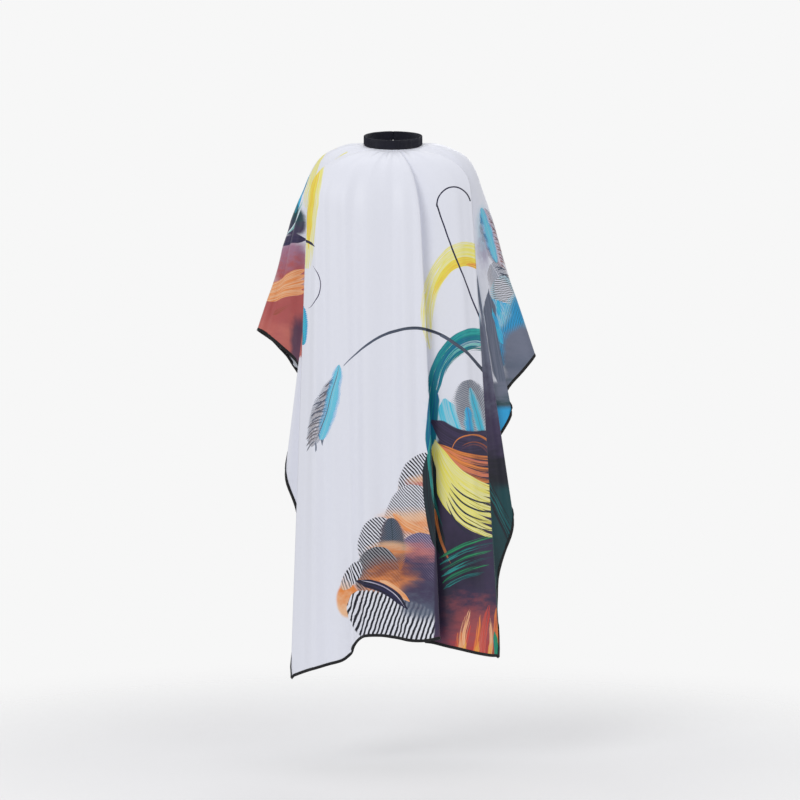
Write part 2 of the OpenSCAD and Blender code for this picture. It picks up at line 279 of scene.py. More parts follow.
def grid_normals(grid):
    """Unit normals of a grid of points, on the side the printed face is."""
    across, down = np.gradient(grid, axis=0), np.gradient(grid, axis=1)
    normal = np.cross(down, across)
    return normal / np.maximum(np.linalg.norm(normal, axis=2, keepdims=True), 1e-12)


def add_object(name, data):
    obj = bpy.data.objects.new(name, data)
    bpy.context.scene.collection.objects.link(obj)
    return obj


def new_object(name, verts, faces, materials, face_slots=None, uv=None, normals=None):
    """A smooth-shaded mesh object. uv and normals are given for each vertex."""
    mesh = bpy.data.meshes.new(name)
    mesh.from_pydata(verts.tolist(), [], [list(map(int, f)) for f in faces])
    for material in materials:
        mesh.materials.append(material)
    if face_slots is not None:
        mesh.polygons.foreach_set("material_index", np.asarray(face_slots, dtype=np.int32))
    if uv is not None:
        loops = np.empty(len(mesh.loops), dtype=np.int32)
        mesh.loops.foreach_get("vertex_index", loops)
        mesh.uv_layers.new(name="UVMap").data.foreach_set("uv", uv[loops].astype(np.float32).ravel())
    mesh.shade_smooth()
    if normals is not None:
        mesh.normals_split_custom_set_from_vertices(normals.tolist())
    mesh.update()
    return add_object(name, mesh)


def smooth(x):
    x = np.clip(x, 0, 1)
    return x * x * (3 - 2 * x)


def flat_grid(rows, columns):
    """Every pair of a row value and a column value, row by row."""
    return np.stack(np.meshgrid(rows, columns, indexing="ij"), axis=-1).reshape(-1, 2)


def refine(grid, factor, axis):
    """The grid with more points along one axis, on smooth curves through its own."""
    g = np.moveaxis(grid, axis, 0)
    p0 = np.concatenate([2 * g[:1] - g[1:2], g[:-1]])[:-1]
    p3 = np.concatenate([g[1:], 2 * g[-1:] - g[-2:-1]])[1:]
    steps = [curve(p0, g[:-1], g[1:], p3, s / factor) for s in range(factor)]
    fine = np.stack(steps, axis=1).reshape(-1, *g.shape[1:])
    return np.moveaxis(np.concatenate([fine, g[-1:]]), 0, axis)


def run_along(path):
    """The length of a path up to each of its points."""
    return np.concatenate([[0], np.cumsum(np.linalg.norm(np.diff(path, axis=0), axis=1))])


def sweep(name, centre, side, up, profile, material):
    """A closed profile of (side, up) offsets carried along a path of points and two directions."""
    offsets = np.asarray(profile)
    if offsets.ndim == 2:
        offsets = np.broadcast_to(offsets, (len(centre), *offsets.shape))
    verts = centre[:, None] + side[:, None] * offsets[..., :1] + up[:, None] * offsets[..., 1:]
    m, n = verts.shape[:2]
    caps = [list(range(n)), list(range(m * n - 1, (m - 1) * n - 1, -1))]
    uv = flat_grid(run_along(centre), run_along(offsets[0]))
    return new_object(name, verts.reshape(-1, 3), [*grid_faces(m, n, wrap=True), *caps], [material], uv=uv)


def closed_sheet(grid, normals, thick, flip):
    """A thin closed sheet about a grid: its points, then the quads of its two faces and its rim."""
    rows, cols = grid.shape[:2]
    count = rows * cols
    verts = np.concatenate([(grid + normals * lift).reshape(-1, 3) for lift in (thick / 2, -thick / 2)])
    index = np.arange(count).reshape(rows, cols)
    rim = np.concatenate([index[:, 0], index[-1, 1:], index[-2::-1, -1], index[0, -2::-1]])
    rims = np.stack([rim[:-1], rim[1:], rim[1:] + count, rim[:-1] + count], axis=-1)
    return (verts, grid_faces(rows, cols, flip=flip), grid_faces(rows, cols, base=count, flip=not flip),
            rims if flip else rims[:, ::-1])


# ---------------------------------------------------------------- the cloth simulation

def wearer_form():
    """A temporary plain form that the cloth rests on: neck, trunk, shoulders and arms."""
    bm = bmesh.new()

    def ball(x, y, z, rx, ry, rz):
        place = Matrix.Translation((x, y, z)) @ Matrix.Diagonal((rx, ry, rz, 1))
        bmesh.ops.create_icosphere(bm, subdivisions=3, radius=1, matrix=place)

    def limb(joints):
        for (a, ra), (b, rb) in zip(joints[:-1], joints[1:]):
            for f in np.linspace(0, 1, 10):
                r = ra + (rb - ra) * f
                ball(*(np.array(a) * (1 - f) + np.array(b) * f), r, r, r)

    limb([((0, 0, 0.02), 0.056), ((0, 0, -0.06), 0.053)])
    for z, rx, front, back in TRUNK:
        ball(0, (front + back) / 2, z, rx, (back - front) / 2, 0.09)
    for side, hand in HANDS.items():
        limb([((side * 0.06, 0, -0.055), 0.048), ((side * 0.14, 0, -0.078), 0.050),
              ((side * 0.20, 0, -0.22), 0.036), (hand, 0.024)])
    mesh = bpy.data.meshes.new("wearer_form")
    bm.to_mesh(mesh)
    bm.free()
    obj = add_object("wearer_form", mesh)
    remesh = obj.modifiers.new("remesh", "REMESH")
    remesh.mode = "VOXEL"
    remesh.voxel_size = 0.014
    obj.modifiers.new("smooth", "SMOOTH").iterations = 8
    graph = bpy.context.evaluated_depsgraph_get()
    obj.data = bpy.data.meshes.new_from_object(obj.evaluated_get(graph))
    obj.modifiers.clear()
    obj.modifiers.new("collision", "COLLISION")
    obj.collision.thickness_outer = 0.004
    obj.collision.thickness_inner = 0.05
    obj.collision.cloth_friction = 3
    return obj


def layered(k):
    """1 on the lines where the cloth is folded over itself, 0 where it hangs in one layer. A line's
    number k is positive on the right of the middle and negative on the left."""
    ak = np.abs(k)
    at_sides = smooth((ak - 6.4) / 0.9) * smooth((15.5 - ak) / 2)
    main_fold = smooth((k - 0.6) / 1.2) * smooth((6.0 - k) / 1.0)
    hem_step = smooth((-0.8 - k) / 0.8) * smooth((6.0 + k) / 0.8)
    return np.maximum(np.maximum(at_sides, main_fold), 0.7 * hem_step)


def soft_folds(k, v, grid):
    """The drape with shallow upright folds that grow towards the hem."""
    run = run_along(grid[:, -1])
    wave = np.sin(2 * np.pi * run / SOFT_PITCH + 1.1 * np.sin(run / 0.043))
    wave += 0.6 * np.sin(2 * np.pi * run / (SOFT_PITCH * 0.61) + 1.0)
    calm = (1 - 0.8 * layered(k)) * (1 - 0.7 * smooth((k - 12) / 4))
    depth = SOFT_DEPTH * (wave * calm)[:, None] * smooth(v / 0.6)[None, :]
    return grid + grid_normals(grid) * depth[..., None]


def pin_weights(k, v):
    """How firmly each point keeps its place: the neck fully, the shoulders, slit and folds well."""
    soft = np.full((len(k), len(v)), PIN_SOFT)
    soft = np.maximum(soft, PIN_WINGS * smooth((np.abs(k)[:, None] - 14) / 2))
    soft = np.maximum(soft, PIN_FOLDS * layered(k)[:, None])
    soft = np.maximum(soft, PIN_SHOULDER * smooth((0.34 - v[None, :]) / 0.16))
    soft = np.maximum(soft, PIN_SLIT * smooth((np.abs(k)[:, None] - FOLD_LINE + 2.5) / 2.0))
    soft = np.maximum(soft, PIN_EDGE * smooth((v[None, :] - 0.9) / 0.1))
    soft[:, 0] = 1
    return soft


def even_out(moved):
    """Average how far neighbouring points moved, so that no small creases are left."""
    for _ in range(EVEN_PASSES):
        for axis in (0, 1):
            ends = [(1, 1) if a == axis else (0, 0) for a in range(3)]
            wide = np.moveaxis(np.pad(moved, ends, mode="edge"), axis, 0)
            moved = np.moveaxis((wide[:-2] + 2 * wide[1:-1] + wide[2:]) / 4, 0, axis)
    return moved


def simulate(k, v, grid):
    """Let the cloth settle on the wearer's form under gravity, and return its points."""
    m, n = grid.shape[:2]
    form = wearer_form()
    obj = new_object("settling_cloth", grid.reshape(-1, 3), grid_faces(m, n), [])
    pins = obj.vertex_groups.new(name="pins")
    for index, weight in enumerate(pin_weights(k, v).ravel()):
        pins.add([index], float(weight), "REPLACE")
    cloth = obj.modifiers.new("cloth", "CLOTH")
    for setting, value in {"quality": 5, "mass": 0.12, "tension_stiffness": 25, "compression_stiffness": 15,
                           "shear_stiffness": 3, "bending_stiffness": 0.02, "air_damping": 1,
                           "vertex_group_mass": "pins", "pin_stiffness": 1,
                           "shrink_min": CLOTH_SHRINK}.items():
        setattr(cloth.settings, setting, value)
    cloth.collision_settings.distance_min = 0.003
    cloth.point_cache.frame_end = SETTLE_FRAMES
    for number in range(1, SETTLE_FRAMES + 1):
        bpy.context.scene.frame_set(number)
    graph = bpy.context.evaluated_depsgraph_get()
    points = np.empty(m * n * 3)
    obj.evaluated_get(graph).data.vertices.foreach_get("co", points)
    bpy.context.scene.frame_set(1)
    for used in (obj, form):
        bpy.data.objects.remove(used, do_unlink=True)
    return grid + even_out(points.reshape(m, n, 3) - grid)


# ---------------------------------------------------------------- placing pieces on the bodies

JOINTS = {joint["name"]: joint for joint in frame["joints"]}
SIDE_NAMES = {0: "front", 1: "right", -1: "left"}
FOLD_BEND = (-0.006, 0.013)      # where a bend would start and end, measured from the fold line
TAB_BEND = (-0.002, 0.008)


def bend_with(obj, joint_name, reach, towards):
    """Look up one joint and work out where a bend over reach, in the direction towards, would start and
    end; the piece is left unbent, with its placement baked into its mesh.
    """
    joint = JOINTS[joint_name]
    pivot, axis = np.array(joint["pos_m"]), np.array(joint["axis"])
    towards = np.array(towards) - axis * np.dot(axis, towards)
    towards /= np.linalg.norm(towards)
    (pivot + towards * reach[0]).tolist()
    (pivot + towards * reach[1]).tolist()
    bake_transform(obj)


def place_parts(side, slot, *pieces):
    """Side 0 rides on the front; the others are passed to bend_with, which leaves them unbent and on no
    body.
    """
    for obj in pieces:
        if side == 0:
            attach(obj, "front")
        else:
            bend_with(obj, f"{SIDE_NAMES[side]}_open", FOLD_BEND, (-side, 0, 0))


# ---------------------------------------------------------------- the cloth

def print_coordinates(k, grid):
    """Where each point lies on the printed design: across from the middle line, and height."""
    out = np.empty(grid.shape[:2] + (2,))
    out[..., 1] = grid[..., 2]
    for side in (1, -1):
        own = np.where(k * side >= 0)[0]
        if side < 0:
            own = own[::-1]
        ak, g = np.abs(k[own]), grid[own]
        steps = np.linalg.norm(np.diff(g[..., :2], axis=0), axis=2)
        run = np.concatenate([np.zeros((1, g.shape[1])), np.cumsum(steps, axis=0)])
        corner, tip = np.argmin(abs(ak - FRONT_CORNER)), np.argmin(abs(ak - WING_TIP))
        x = np.maximum.accumulate(side * g[..., 0], axis=0)
        from_corner = x[corner] + run - run[corner]
        from_tip = x[tip] + run - run[tip]
        share = smooth((ak - LAST_LINES[1] + 0.1) / 0.2)[:, None]
        u = np.where(ak[:, None] <= FRONT_CORNER, x, from_corner * (1 - share) + from_tip * share)
        out[own, :, 0] = side * u
    return out


def gathers(k, v, grid, normals):
    """Push the cloth in and out in small folds that start under the band and fade below it."""
    angle = np.interp(k, K_COARSE, ANGLES)
    along = np.radians(angle) * CLOTH_R
    depth = np.zeros(len(k))
    for pitch, size in GATHERS:
        phase, wander = RNG.uniform(0, 2 * np.pi, 2)
        wave = np.sin(2 * np.pi * along / pitch + 1.3 * np.sin(along / pitch * 0.9 + wander) + phase)
        depth += size * np.maximum(wave, -0.4)
    at_front, at_back = np.exp(-(angle / 45) ** 2), np.exp(-((np.abs(angle) - 180) / 40) ** 2)
    depth *= 0.25 + 0.9 * at_front + 0.5 * at_back
    fade = smooth(v / GATHER_START) * (1 - smooth((v - GATHER_START) / GATHER_V))
    grid += normals * (depth[:, None] * fade[None, :])[..., None]


def cloth_panel(name, side, columns, materials):
    """One panel: a printed outer layer, a plain inner layer and closed rims."""
    g, n = CLOTH[columns], NORMALS[columns]
    verts, outer, inner, rims = closed_sheet(g, n, CLOTH_T, flip=True)
    uv = PRINT_UV[columns].reshape(-1, 2)
    x, z = uv[outer].mean(axis=1).T
    lines = np.abs(np.repeat(K_FINE[columns], g.shape[1]))[outer].mean(axis=1)
    slots = np.concatenate([zone_numbers(lines, x, z), np.full(len(inner) + len(rims), len(materials) - 1)])
    flat = n.reshape(-1, 3)
    obj = new_object(name, verts, np.concatenate([outer, inner, rims]), materials, slots,
                     np.concatenate([uv, uv]), np.concatenate([flat, -flat]))
    place_parts(side, "cloth", obj)
    return obj


# ---------------------------------------------------------------- tape and stitches

def path_frame(path, normals):
    """Unit tangents, and directions across the path that lie in the cloth."""
    tangent = np.gradient(path, axis=0)
    tangent /= np.linalg.norm(tangent, axis=1, keepdims=True)
    across = np.cross(tangent, normals)
    across /= np.linalg.norm(across, axis=1, keepdims=True)
    return tangent, across


def rounded(width, thick, bulge=0.0, corner=3):
    """A rounded flat section as (across, up) offsets from its middle."""
    r = thick / 2
    points = []
    for sx, start in ((1, -90), (-1, 90)):
        for step in range(corner + 1):
            a = math.radians(start + 180 * step / corner)
            points.append((sx * (width / 2 - r) + r * math.cos(a), r * math.sin(a)))
        points.append((0, sx * (r + bulge)))
    return points


def along_path(path, pitch, *fields):
    """Points at an even pitch along a path, with other fields sampled at the same places."""
    length = run_along(path)
    at = np.arange(pitch / 2, length[-1], pitch)
    return [np.stack([np.interp(at, length, f[:, i]) for i in range(3)], axis=1) for f in (path, *fields)]


def stitch_row(name, path, normals, tangent, lift, material):
    """Short stitches that stand a little off the surface on both faces."""
    spot, up, along = along_path(path, STITCH_PITCH, normals, tangent)
    across = np.cross(along, up)
    r, foot = STITCH_R, -THREAD_SUNK
    shape = [(-STITCH_HALF, 0, foot), (0, r, 0), (0, 0, r), (0, -r, 0), (STITCH_HALF, 0, foot), (0, 0, -r)]
    faces = [(0, 2, 1), (0, 3, 2), (0, 1, 5), (0, 5, 3), (4, 1, 2), (4, 2, 3), (4, 5, 1), (4, 3, 5)]
    verts, tris = [], []
    for face_side in (1, -1):
        for a, b, c in shape:
            verts.append(spot + along * a + across * b * face_side + up * (lift + c) * face_side)
    verts = np.stack(verts, axis=1)
    each = verts.shape[1]
    for number in range(len(spot)):
        for first in (0, len(shape)):
            tris += [tuple(number * each + first + i for i in face) for face in faces]
    uv = np.zeros((len(spot) * each, 2))
    uv[:, 0] = np.repeat(np.arange(len(spot)), each) * STITCH_PITCH
    return new_object(name, verts.reshape(-1, 3), tris, [material], uv=uv)


def edge_path(side):
    """The cloth's edge: hem and side edges in front, or a back half's hem and slit."""
    if side == 0:
        own = np.abs(K_FINE) <= SPLIT_LINE
        return CLOTH[own, -1], NORMALS[own, -1]
    own = np.where(K_FINE * side >= SPLIT_LINE)[0]
    if side < 0:
        own = own[::-1]
    slit = own[-1]
    up = slice(-2, None, -1)
    return (np.concatenate([CLOTH[own, -1], CLOTH[slit, up]]),
            np.concatenate([NORMALS[own, -1], NORMALS[slit, up]]))


def bind_edge(side, tape, thread):
    """Black tape folded over the edge, held by a row of stitches."""
    path, normals = edge_path(side)
    tangent, across = path_frame(path, normals)
    inward = -across if side >= 0 else across
    word = SIDE_NAMES[side]
    centre = path + inward * (TAPE_W / 2 - TAPE_T / 2)
    obj = sweep(f"tape_{word}", centre, inward, normals, rounded(TAPE_W, TAPE_T, TAPE_BULGE), tape)
    row = path + inward * (TAPE_W - TAPE_T / 2 - STITCH_INSET)
    seam = stitch_row(f"tape_stitches_{word}", row, normals, tangent, TAPE_T / 2, thread)
    place_parts(side, "tape", obj, seam)
    return obj


# ---------------------------------------------------------------- the neckband

def band_frame(angle):
    """Radial and upward directions of the band at each angle."""
    radial = ring_point(np.atleast_1d(angle), 1.0, 0.0)
    return radial, np.broadcast_to(ring_point(0, 0.0, 1.0), radial.shape)


def ruffle(angle):
    """How far the gathered casing stands out at each angle, from -1 to 1."""
    along = np.radians(angle) * BAND_OUT
    wander = 1.5 * np.sin(along / 0.011) + 0.8 * np.sin(along / 0.0047)
    return np.sin(2 * np.pi * along / RUFFLE_PITCH + wander) * (0.75 + 0.25 * np.sin(along / 0.017))


def neckband(side, a1, a2, knit, thread):
    """One length of the casing: a soft rounded section with small upright ruffles."""
    angle = np.arange(a1, a2 + 0.2, 0.4)
    radial, up = band_frame(angle)
    thick = BAND_OUT - NECK_R
    ends = rounded(BAND_H, thick, corner=5)
    levels = np.linspace(-BAND_H / 2 + thick / 2, BAND_H / 2 - thick / 2, 9)[1:-1]
    half = len(ends) // 2
    section = np.array([*ends[:half - 1], *((z, thick / 2) for z in levels[::-1]),
                        *ends[half:-1], *((z, -thick / 2) for z in levels)])
    profile = np.broadcast_to(section, (len(angle), *section.shape)).copy()
    height, outer = section[:, 0], section[:, 1] > 0
    swell = 1 - (height / (BAND_H / 2)) ** 2 * 0.35
    at_rim = np.sign(height) * (np.abs(height) > BAND_H / 2 - thick)
    ripple = ruffle(angle)[:, None]
    profile[..., 1] += np.where(outer, 1, -0.35) * swell * ripple * RUFFLE_DEPTH
    profile[..., 0] += at_rim * ripple * RIM_RUFFLE
    centre = ring_point(angle, (BAND_OUT + NECK_R) / 2, 0.0)
    obj = sweep(f"neckband_{SIDE_NAMES[side]}", centre, up, radial, profile, knit)
    seam = ring_point(angle, BAND_OUT + 0.0001, SEAM_Z)
    stitches = stitch_row(f"neckband_stitches_{SIDE_NAMES[side]}", seam, radial,
                          path_frame(seam, radial)[0], SEAM_LIFT, thread)
    place_parts(side, "band", obj, stitches)
    return obj


def gathered_lip(side, a1, a2, cloth):
    """The rolled and gathered edge of the cloth where it goes into the band."""
    angle = np.arange(a1, a2 + 0.15, 0.3)
    radial, up = band_frame(angle)
    turn = np.linspace(0, 2 * np.pi, 9)[:-1]
    ripple = (1 + 0.35 * ruffle(angle * 0.7))[:, None]
    profile = np.stack([LIP_R * 0.8 * np.cos(turn) * ripple, LIP_R * np.sin(turn) * ripple], axis=-1)
    centre = ring_point(angle, CLOTH_R + 0.0008, -BAND_H / 2 - LIP_R * 0.5)
    obj = sweep(f"cloth_gather_{SIDE_NAMES[side]}", centre, up, radial, profile, cloth)
    place_parts(side, "cloth", obj)


# ---------------------------------------------------------------- closure, loop and label

def band_place(angle, r):
    """Axes and origin of a piece fixed on the band: down, round and outward, as in the CAD model."""
    radial, up = (row[0] for row in band_frame(angle))
    down = -up
    return ring_point(angle, r, 0.0), down, np.cross(radial, down), radial


def lathe(name, angle, r, outline, material, steps=40):
    """A turned piece whose axis points out of the band. Its outline is (radius, height) in millimetres."""
    profile = [(radius * MM, height * MM) for radius, height in outline]
    origin, down, across, out = band_place(angle, r)
    turn = np.linspace(0, 2 * np.pi, steps + 1)[:-1]
    ring = np.cos(turn)[:, None] * down + np.sin(turn)[:, None] * across
    verts = np.stack([origin + ring * radius + out * height for radius, height in profile])
    faces = grid_faces(len(profile), steps, wrap=True)
    uv = flat_grid([radius + height for radius, height in profile], turn * SNAP_R)
    obj = new_object(name, verts.reshape(-1, 3), faces, [material], uv=uv)
    return obj


def round_end(distance, r):
    """Square of the half width, as a share of r, at a distance from a round end of radius r."""
    return np.clip(1 - (1 - np.clip(distance / r, 0, 1)) ** 2, 0, 1)


def closure_tab(knit, thread):
    """The tab: sewn to the right half, then free, with a round end over the snaps."""
    angle = np.concatenate([np.arange(TAB_START, TAB_END - 8, 0.5), np.linspace(TAB_END - 8, TAB_END, 17)])
    radial, up = band_frame(angle)
    r = TAB_LOW_R + (TAB_R - TAB_LOW_R) * smooth((angle - 179.5) / 7)
    from_end = np.radians(TAB_END - angle) * TAB_R
    section = np.array(rounded(TAB_H, TAB_T, 0.0002, corner=5))
    profile = np.broadcast_to(section, (len(angle), *section.shape)).copy()
    profile[..., 0] *= np.sqrt(np.maximum(round_end(from_end, TAB_H / 2), 0.0004))[:, None]
    centre = ring_point(angle, 1.0, 0.0) * r[:, None]
    tab = sweep("closure_tab", centre, up, radial, profile, knit)
    free = (angle > TAB_START + 2) & (from_end > TAB_SEAM)
    inset = TAB_H / 2 - TAB_SEAM
    edge = up * (inset * np.sqrt(round_end(from_end - TAB_SEAM, inset)))[:, None]
    path = np.concatenate([(centre + edge)[free], (centre - edge)[free][::-1]])
    outward = np.concatenate([radial[free], radial[free][::-1]])
    seam = stitch_row("tab_stitches", path, outward, path_frame(path, outward)[0], TAB_T / 2, thread)
    for piece in (tab, seam):
        bend_with(piece, "tab_peel", TAB_BEND, (-1, 0, 0))
    return tab


def snaps(plastic):
    """The snap's cap and stud on the tab, and two sockets on the left half. Outlines are in millimetres."""
    cap = [(0, 0.1), (5.6, 0.1), (6.2, 0.35), (6.1, 0.7), (5.2, 1.15), (4.4, 1.3), (3.9, 1.12), (2.5, 1.2),
           (0, 1.25)]
    stud = [(0, -1.7), (0.9, -1.7), (1.6, -1.35), (1.8, -0.9), (1.5, -0.4), (1.9, -0.1), (4.6, -0.1),
            (5.4, 0.1), (5.4, 0.45), (0, 0.5)]
    socket = [(0, 0.6), (2.5, 0.6), (2.6, 1.6), (2.35, 2.3), (2.7, 2.6), (3.6, 2.6), (4.1, 2.1), (4.4, 1.2),
              (5.4, 0.9), (5.5, 0.3), (5.3, 0), (0, 0)]
    stud_r = TAB_R - TAB_T / 2 - 0.0005
    pieces = [("snap_cap", SNAP_ANGLE, TAB_R + TAB_T / 2, cap, "tab", "snap_stud_cap"),
              ("snap_stud_ball", SNAP_ANGLE, stud_r, stud, "tab", "snap_stud")]
    for number in (0, 1):
        pieces.append((f"snap_socket_{number + 1}", SNAP_ANGLE + number * SOCKET_PITCH, BAND_OUT + 0.0002,
                       socket, "left_half", "snap_sockets"))
    for name, angle, r, outline, body, node in pieces:
        piece = lathe(name, angle, r, outline, plastic)
        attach(piece, body)
        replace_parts(piece, node)


def sewn_piece(piece, row, normals, lift, thread, body, node):
    """A piece that swings on one body, with the row of stitches that holds it."""
    seam = stitch_row(f"{node}_stitches", row, normals, path_frame(row, normals)[0], lift, thread)
    for obj in (piece, seam):
        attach(obj, body)
    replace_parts(piece, node)


def hanging_loop(tape, thread):
    """A loop of narrow tape, sewn on at its two ends."""
    origin, down, across, out = band_place(LOOP_ANGLE, BAND_OUT + 0.001)
    lean = math.radians(3)
    down, out = down * math.cos(lean) + out * math.sin(lean), out * math.cos(lean) - down * math.sin(lean)
    turn = np.linspace(np.pi, 0, 17)
    leg = np.linspace(0.0005, LOOP_LEG, 22)
    x = np.concatenate([leg[:-1], LOOP_LEG + LOOP_W * np.sin(turn), leg[-2::-1]])
    y = np.concatenate([np.full(21, -LOOP_W), LOOP_W * np.cos(turn), np.full(21, LOOP_W)])
    z = 0.0008 * np.sin(np.clip(x / LOOP_LEG, 0, 1) * np.pi) + 0.0005
    path = origin + x[:, None] * down + y[:, None] * across + z[:, None] * out
    normals = np.broadcast_to(out, path.shape)
    loop = sweep("hanging_loop_tape", path, path_frame(path, normals)[1], normals,
                 rounded(LOOP_W, 0.001, TAPE_BULGE), tape)
    start = origin + out * 0.0007 + np.linspace(-0.009, 0.009, 12)[:, None] * across
    bar = np.concatenate([start + 0.003 * down, (start + 0.005 * down)[::-1]])
    bar_normals = np.broadcast_to(out, bar.shape)
    sewn_piece(loop, bar, bar_normals, SEAM_LIFT, thread, "loop", "hanging_loop")


def care_label(satin, thread):
    """A blank satin label inside the left back, a little curled."""
    origin, down, across, out = band_place(LABEL_ANGLE, NECK_R - 0.0026)
    along = down * math.cos(LABEL_LEAN) - out * math.sin(LABEL_LEAN)
    face = out * math.cos(LABEL_LEAN) + down * math.sin(LABEL_LEAN)
    top = origin + down * (BAND_H / 2 + 0.010)
    s, t = np.linspace(0, LABEL_L, 22), np.linspace(-LABEL_W / 2, LABEL_W / 2, 14)
    curl = 0.0003 * np.sin(s / LABEL_L * np.pi)[:, None] - 0.0010 * (t / (LABEL_W / 2))[None, :] ** 2
    sheet = top + s[:, None, None] * along + t[None, :, None] * across + curl[..., None] * face
    normals = -grid_normals(sheet)
    verts, outer, inner, rims = closed_sheet(sheet, normals, LABEL_T, flip=False)
    uv = flat_grid(s, t)
    label = new_object("care_label_sheet", verts, np.concatenate([outer, inner, rims]), [satin],
                       uv=np.concatenate([uv, uv]))
    sewn_piece(label, sheet[2], normals[2], LABEL_T / 2, thread, "label", "care_label")


# ---------------------------------------------------------------- values in node trees

class Flow:
    """A value in a node tree. Arithmetic on it adds the math nodes that work it out."""

    def __init__(self, socket):
        self.socket = socket

    def __abs__(self):
        return calc("ABSOLUTE", self)

    def __add__(self, other):
        return calc("ADD", self, other)

    def __sub__(self, other):
        return calc("SUBTRACT", self, other)

    def __rsub__(self, other):
        return calc("SUBTRACT", other, self)

    def __mul__(self, other):
        return calc("MULTIPLY", self, other)

    def __truediv__(self, other):
        return calc("DIVIDE", self, other)

    def __rtruediv__(self, other):
        return calc("DIVIDE", other, self)


def put(socket, value):
    if isinstance(value, Flow):
        socket.id_data.links.new(value.socket, socket)
    else:
        socket.default_value = value


def add_node(kind, values, **settings):
    """A node in the tree of its values, which are given by the name or number of its inputs."""
    tree = next(value.socket.id_data for value in values.values() if isinstance(value, Flow))
    node = tree.nodes.new("ShaderNode" + kind)
    for name, setting in settings.items():
        setattr(node, name, setting)
    for key, value in values.items():
        put(node.inputs[key], value)
    return node


def calc(operation, *values, clamp=False):
    node = add_node("Math", dict(enumerate(values)), operation=operation, use_clamp=clamp)
    return Flow(node.outputs[0])


def vector(operation, *values):
    node = add_node("VectorMath", dict(enumerate(values)), operation=operation)
    return Flow(node.outputs["Value" if operation in ("DOT_PRODUCT", "LENGTH") else "Vector"])


def ramp(value, low, high):
    """0 at low and 1 at high, with a smooth change between them."""
    values = {"Value": value, "From Min": low, "From Max": high}
    return Flow(add_node("MapRange", values, interpolation_type="SMOOTHSTEP").outputs["Result"])


def noise(place, scale, detail=2.0, rough=0.5):
    values = {"Vector": place, "Scale": scale, "Detail": detail, "Roughness": rough}
    return Flow(add_node("TexNoise", values).outputs[0])


def mixed(factor, a, b):
    """Colour a where the factor is 0 and b where it is 1."""
    return Flow(add_node("Mix", {0: factor, 6: a, 7: b}, data_type="RGBA").outputs[2])


def joined(x, y, z=0.0):
    return Flow(add_node("CombineXYZ", {0: x, 1: y, 2: z}).outputs[0])


def parted(value):
    return [Flow(output) for output in add_node("SeparateXYZ", {0: value}).outputs]


def srgb(r, g, b):
    """A screen colour, 0 to 255, as a linear colour for a material."""
    return tuple((c / 255) ** 2.2 for c in (r, g, b)) + (1,)


def new_group(name, inputs, outputs="Colour"):
    """An empty node group: its inputs as values by name, and its output sockets."""
    tree = bpy.data.node_groups.new(name, "ShaderNodeTree")
    for direction, labels in (("INPUT", inputs), ("OUTPUT", outputs)):
        for label in labels.split():
            kind = SOCKET_KINDS.get(label, "NodeSocketFloat")
            tree.interface.new_socket(label, in_out=direction, socket_type=kind)
    given = tree.nodes.new("NodeGroupInput").outputs
    return {label: Flow(given[label]) for label in inputs.split()}, tree.nodes.new("NodeGroupOutput").inputs


def use_group(name, values):
    """The outputs of a node group, by name."""
    node = add_node("Group", values, node_tree=bpy.data.node_groups[name])
    return {output.name: Flow(output) for output in node.outputs}


def picked(values, labels):
    """Some of the values, whose labels are written in one line."""
    return {label: values[label] for label in labels.split()}


# ---------------------------------------------------------------- strokes of the print

SOCKET_KINDS = {**dict.fromkeys(("Below", "Colour", "Second", "Lines"), "NodeSocketColor"),
                **dict.fromkeys(("Place", "Start", "End", "Centre", "Radii", "Size"), "NodeSocketVector")}
BENT_LINE = "Place Start End Bend"
PAINT = "Below Width Dry Colour Second Streaky Taper Seed"
STREAK_RATE = 9.0                # streaks for each metre along a stroke, and bristles across it
BRISTLE_RATE = 420.0
SEED_START, SEED_STEP = 3.1, 1.7
VANISHING = (1e-9, 1e-9, 1e-9)


def stroke_space_group():
    """Distance along a bent stroke, 0 to 1, and distance across it in metres."""
    i, o = new_group("stroke_space", BENT_LINE, "Along Across Length")
    rel = vector("SUBTRACT", i["Place"], i["Start"])
    span = vector("SUBTRACT", i["End"], i["Start"])
    square = vector("DOT_PRODUCT", span, span)
    length = calc("SQRT", square)
    along = vector("DOT_PRODUCT", rel, span) / square
    off_chord = parted(vector("CROSS_PRODUCT", span, rel))[2] / length
    arch = along * 4.0 * (1.0 - along) * i["Bend"]
    put(o["Along"], along)
    put(o["Across"], off_chord - arch)
    put(o["Length"], length)


def paint_group():
    """Paint along a stroke: tapered ends, bristle streaks and two colours."""
    i, o = new_group("paint", "Along Across Length " + PAINT)
    along, across, dry = i["Along"], i["Across"], i["Dry"]
    thin = ramp(along, -0.06, 0.22) * ramp(along, 1.06, 0.74)
    taper = thin * i["Taper"] + (1.0 - i["Taper"])
    t = across / (i["Width"] * 0.5 * taper)
    bristles = joined(along * i["Length"] * STREAK_RATE, across * BRISTLE_RATE, i["Seed"])
    streak = noise(bristles, 1.0, 3.0, 0.6)
    edge = ramp(abs(t) + (streak - 0.5) * 1.1 * dry, 1.0, 0.88)
    level = dry * (along * 0.35 + 0.52)
    wet = ramp(streak, level - 0.05, level + 0.05)
    ends = ramp(along, 0.0, 0.015) * ramp(along, 1.0, 0.985)
    by_streak = ramp(streak, 0.38, 0.62) * i["Streaky"]
    by_length = along * (1.0 - i["Streaky"])
    colour = mixed(calc("ADD", by_streak, by_length, clamp=True), i["Colour"], i["Second"])
    put(o["Colour"], mixed(edge * wet * ends, i["Below"], colour))


def brush_group():
    i, o = new_group("brush", f"{BENT_LINE} {PAINT}")
    where = use_group("stroke_space", picked(i, BENT_LINE))
    put(o["Colour"], use_group("paint", {**where, **picked(i, PAINT)})["Colour"])


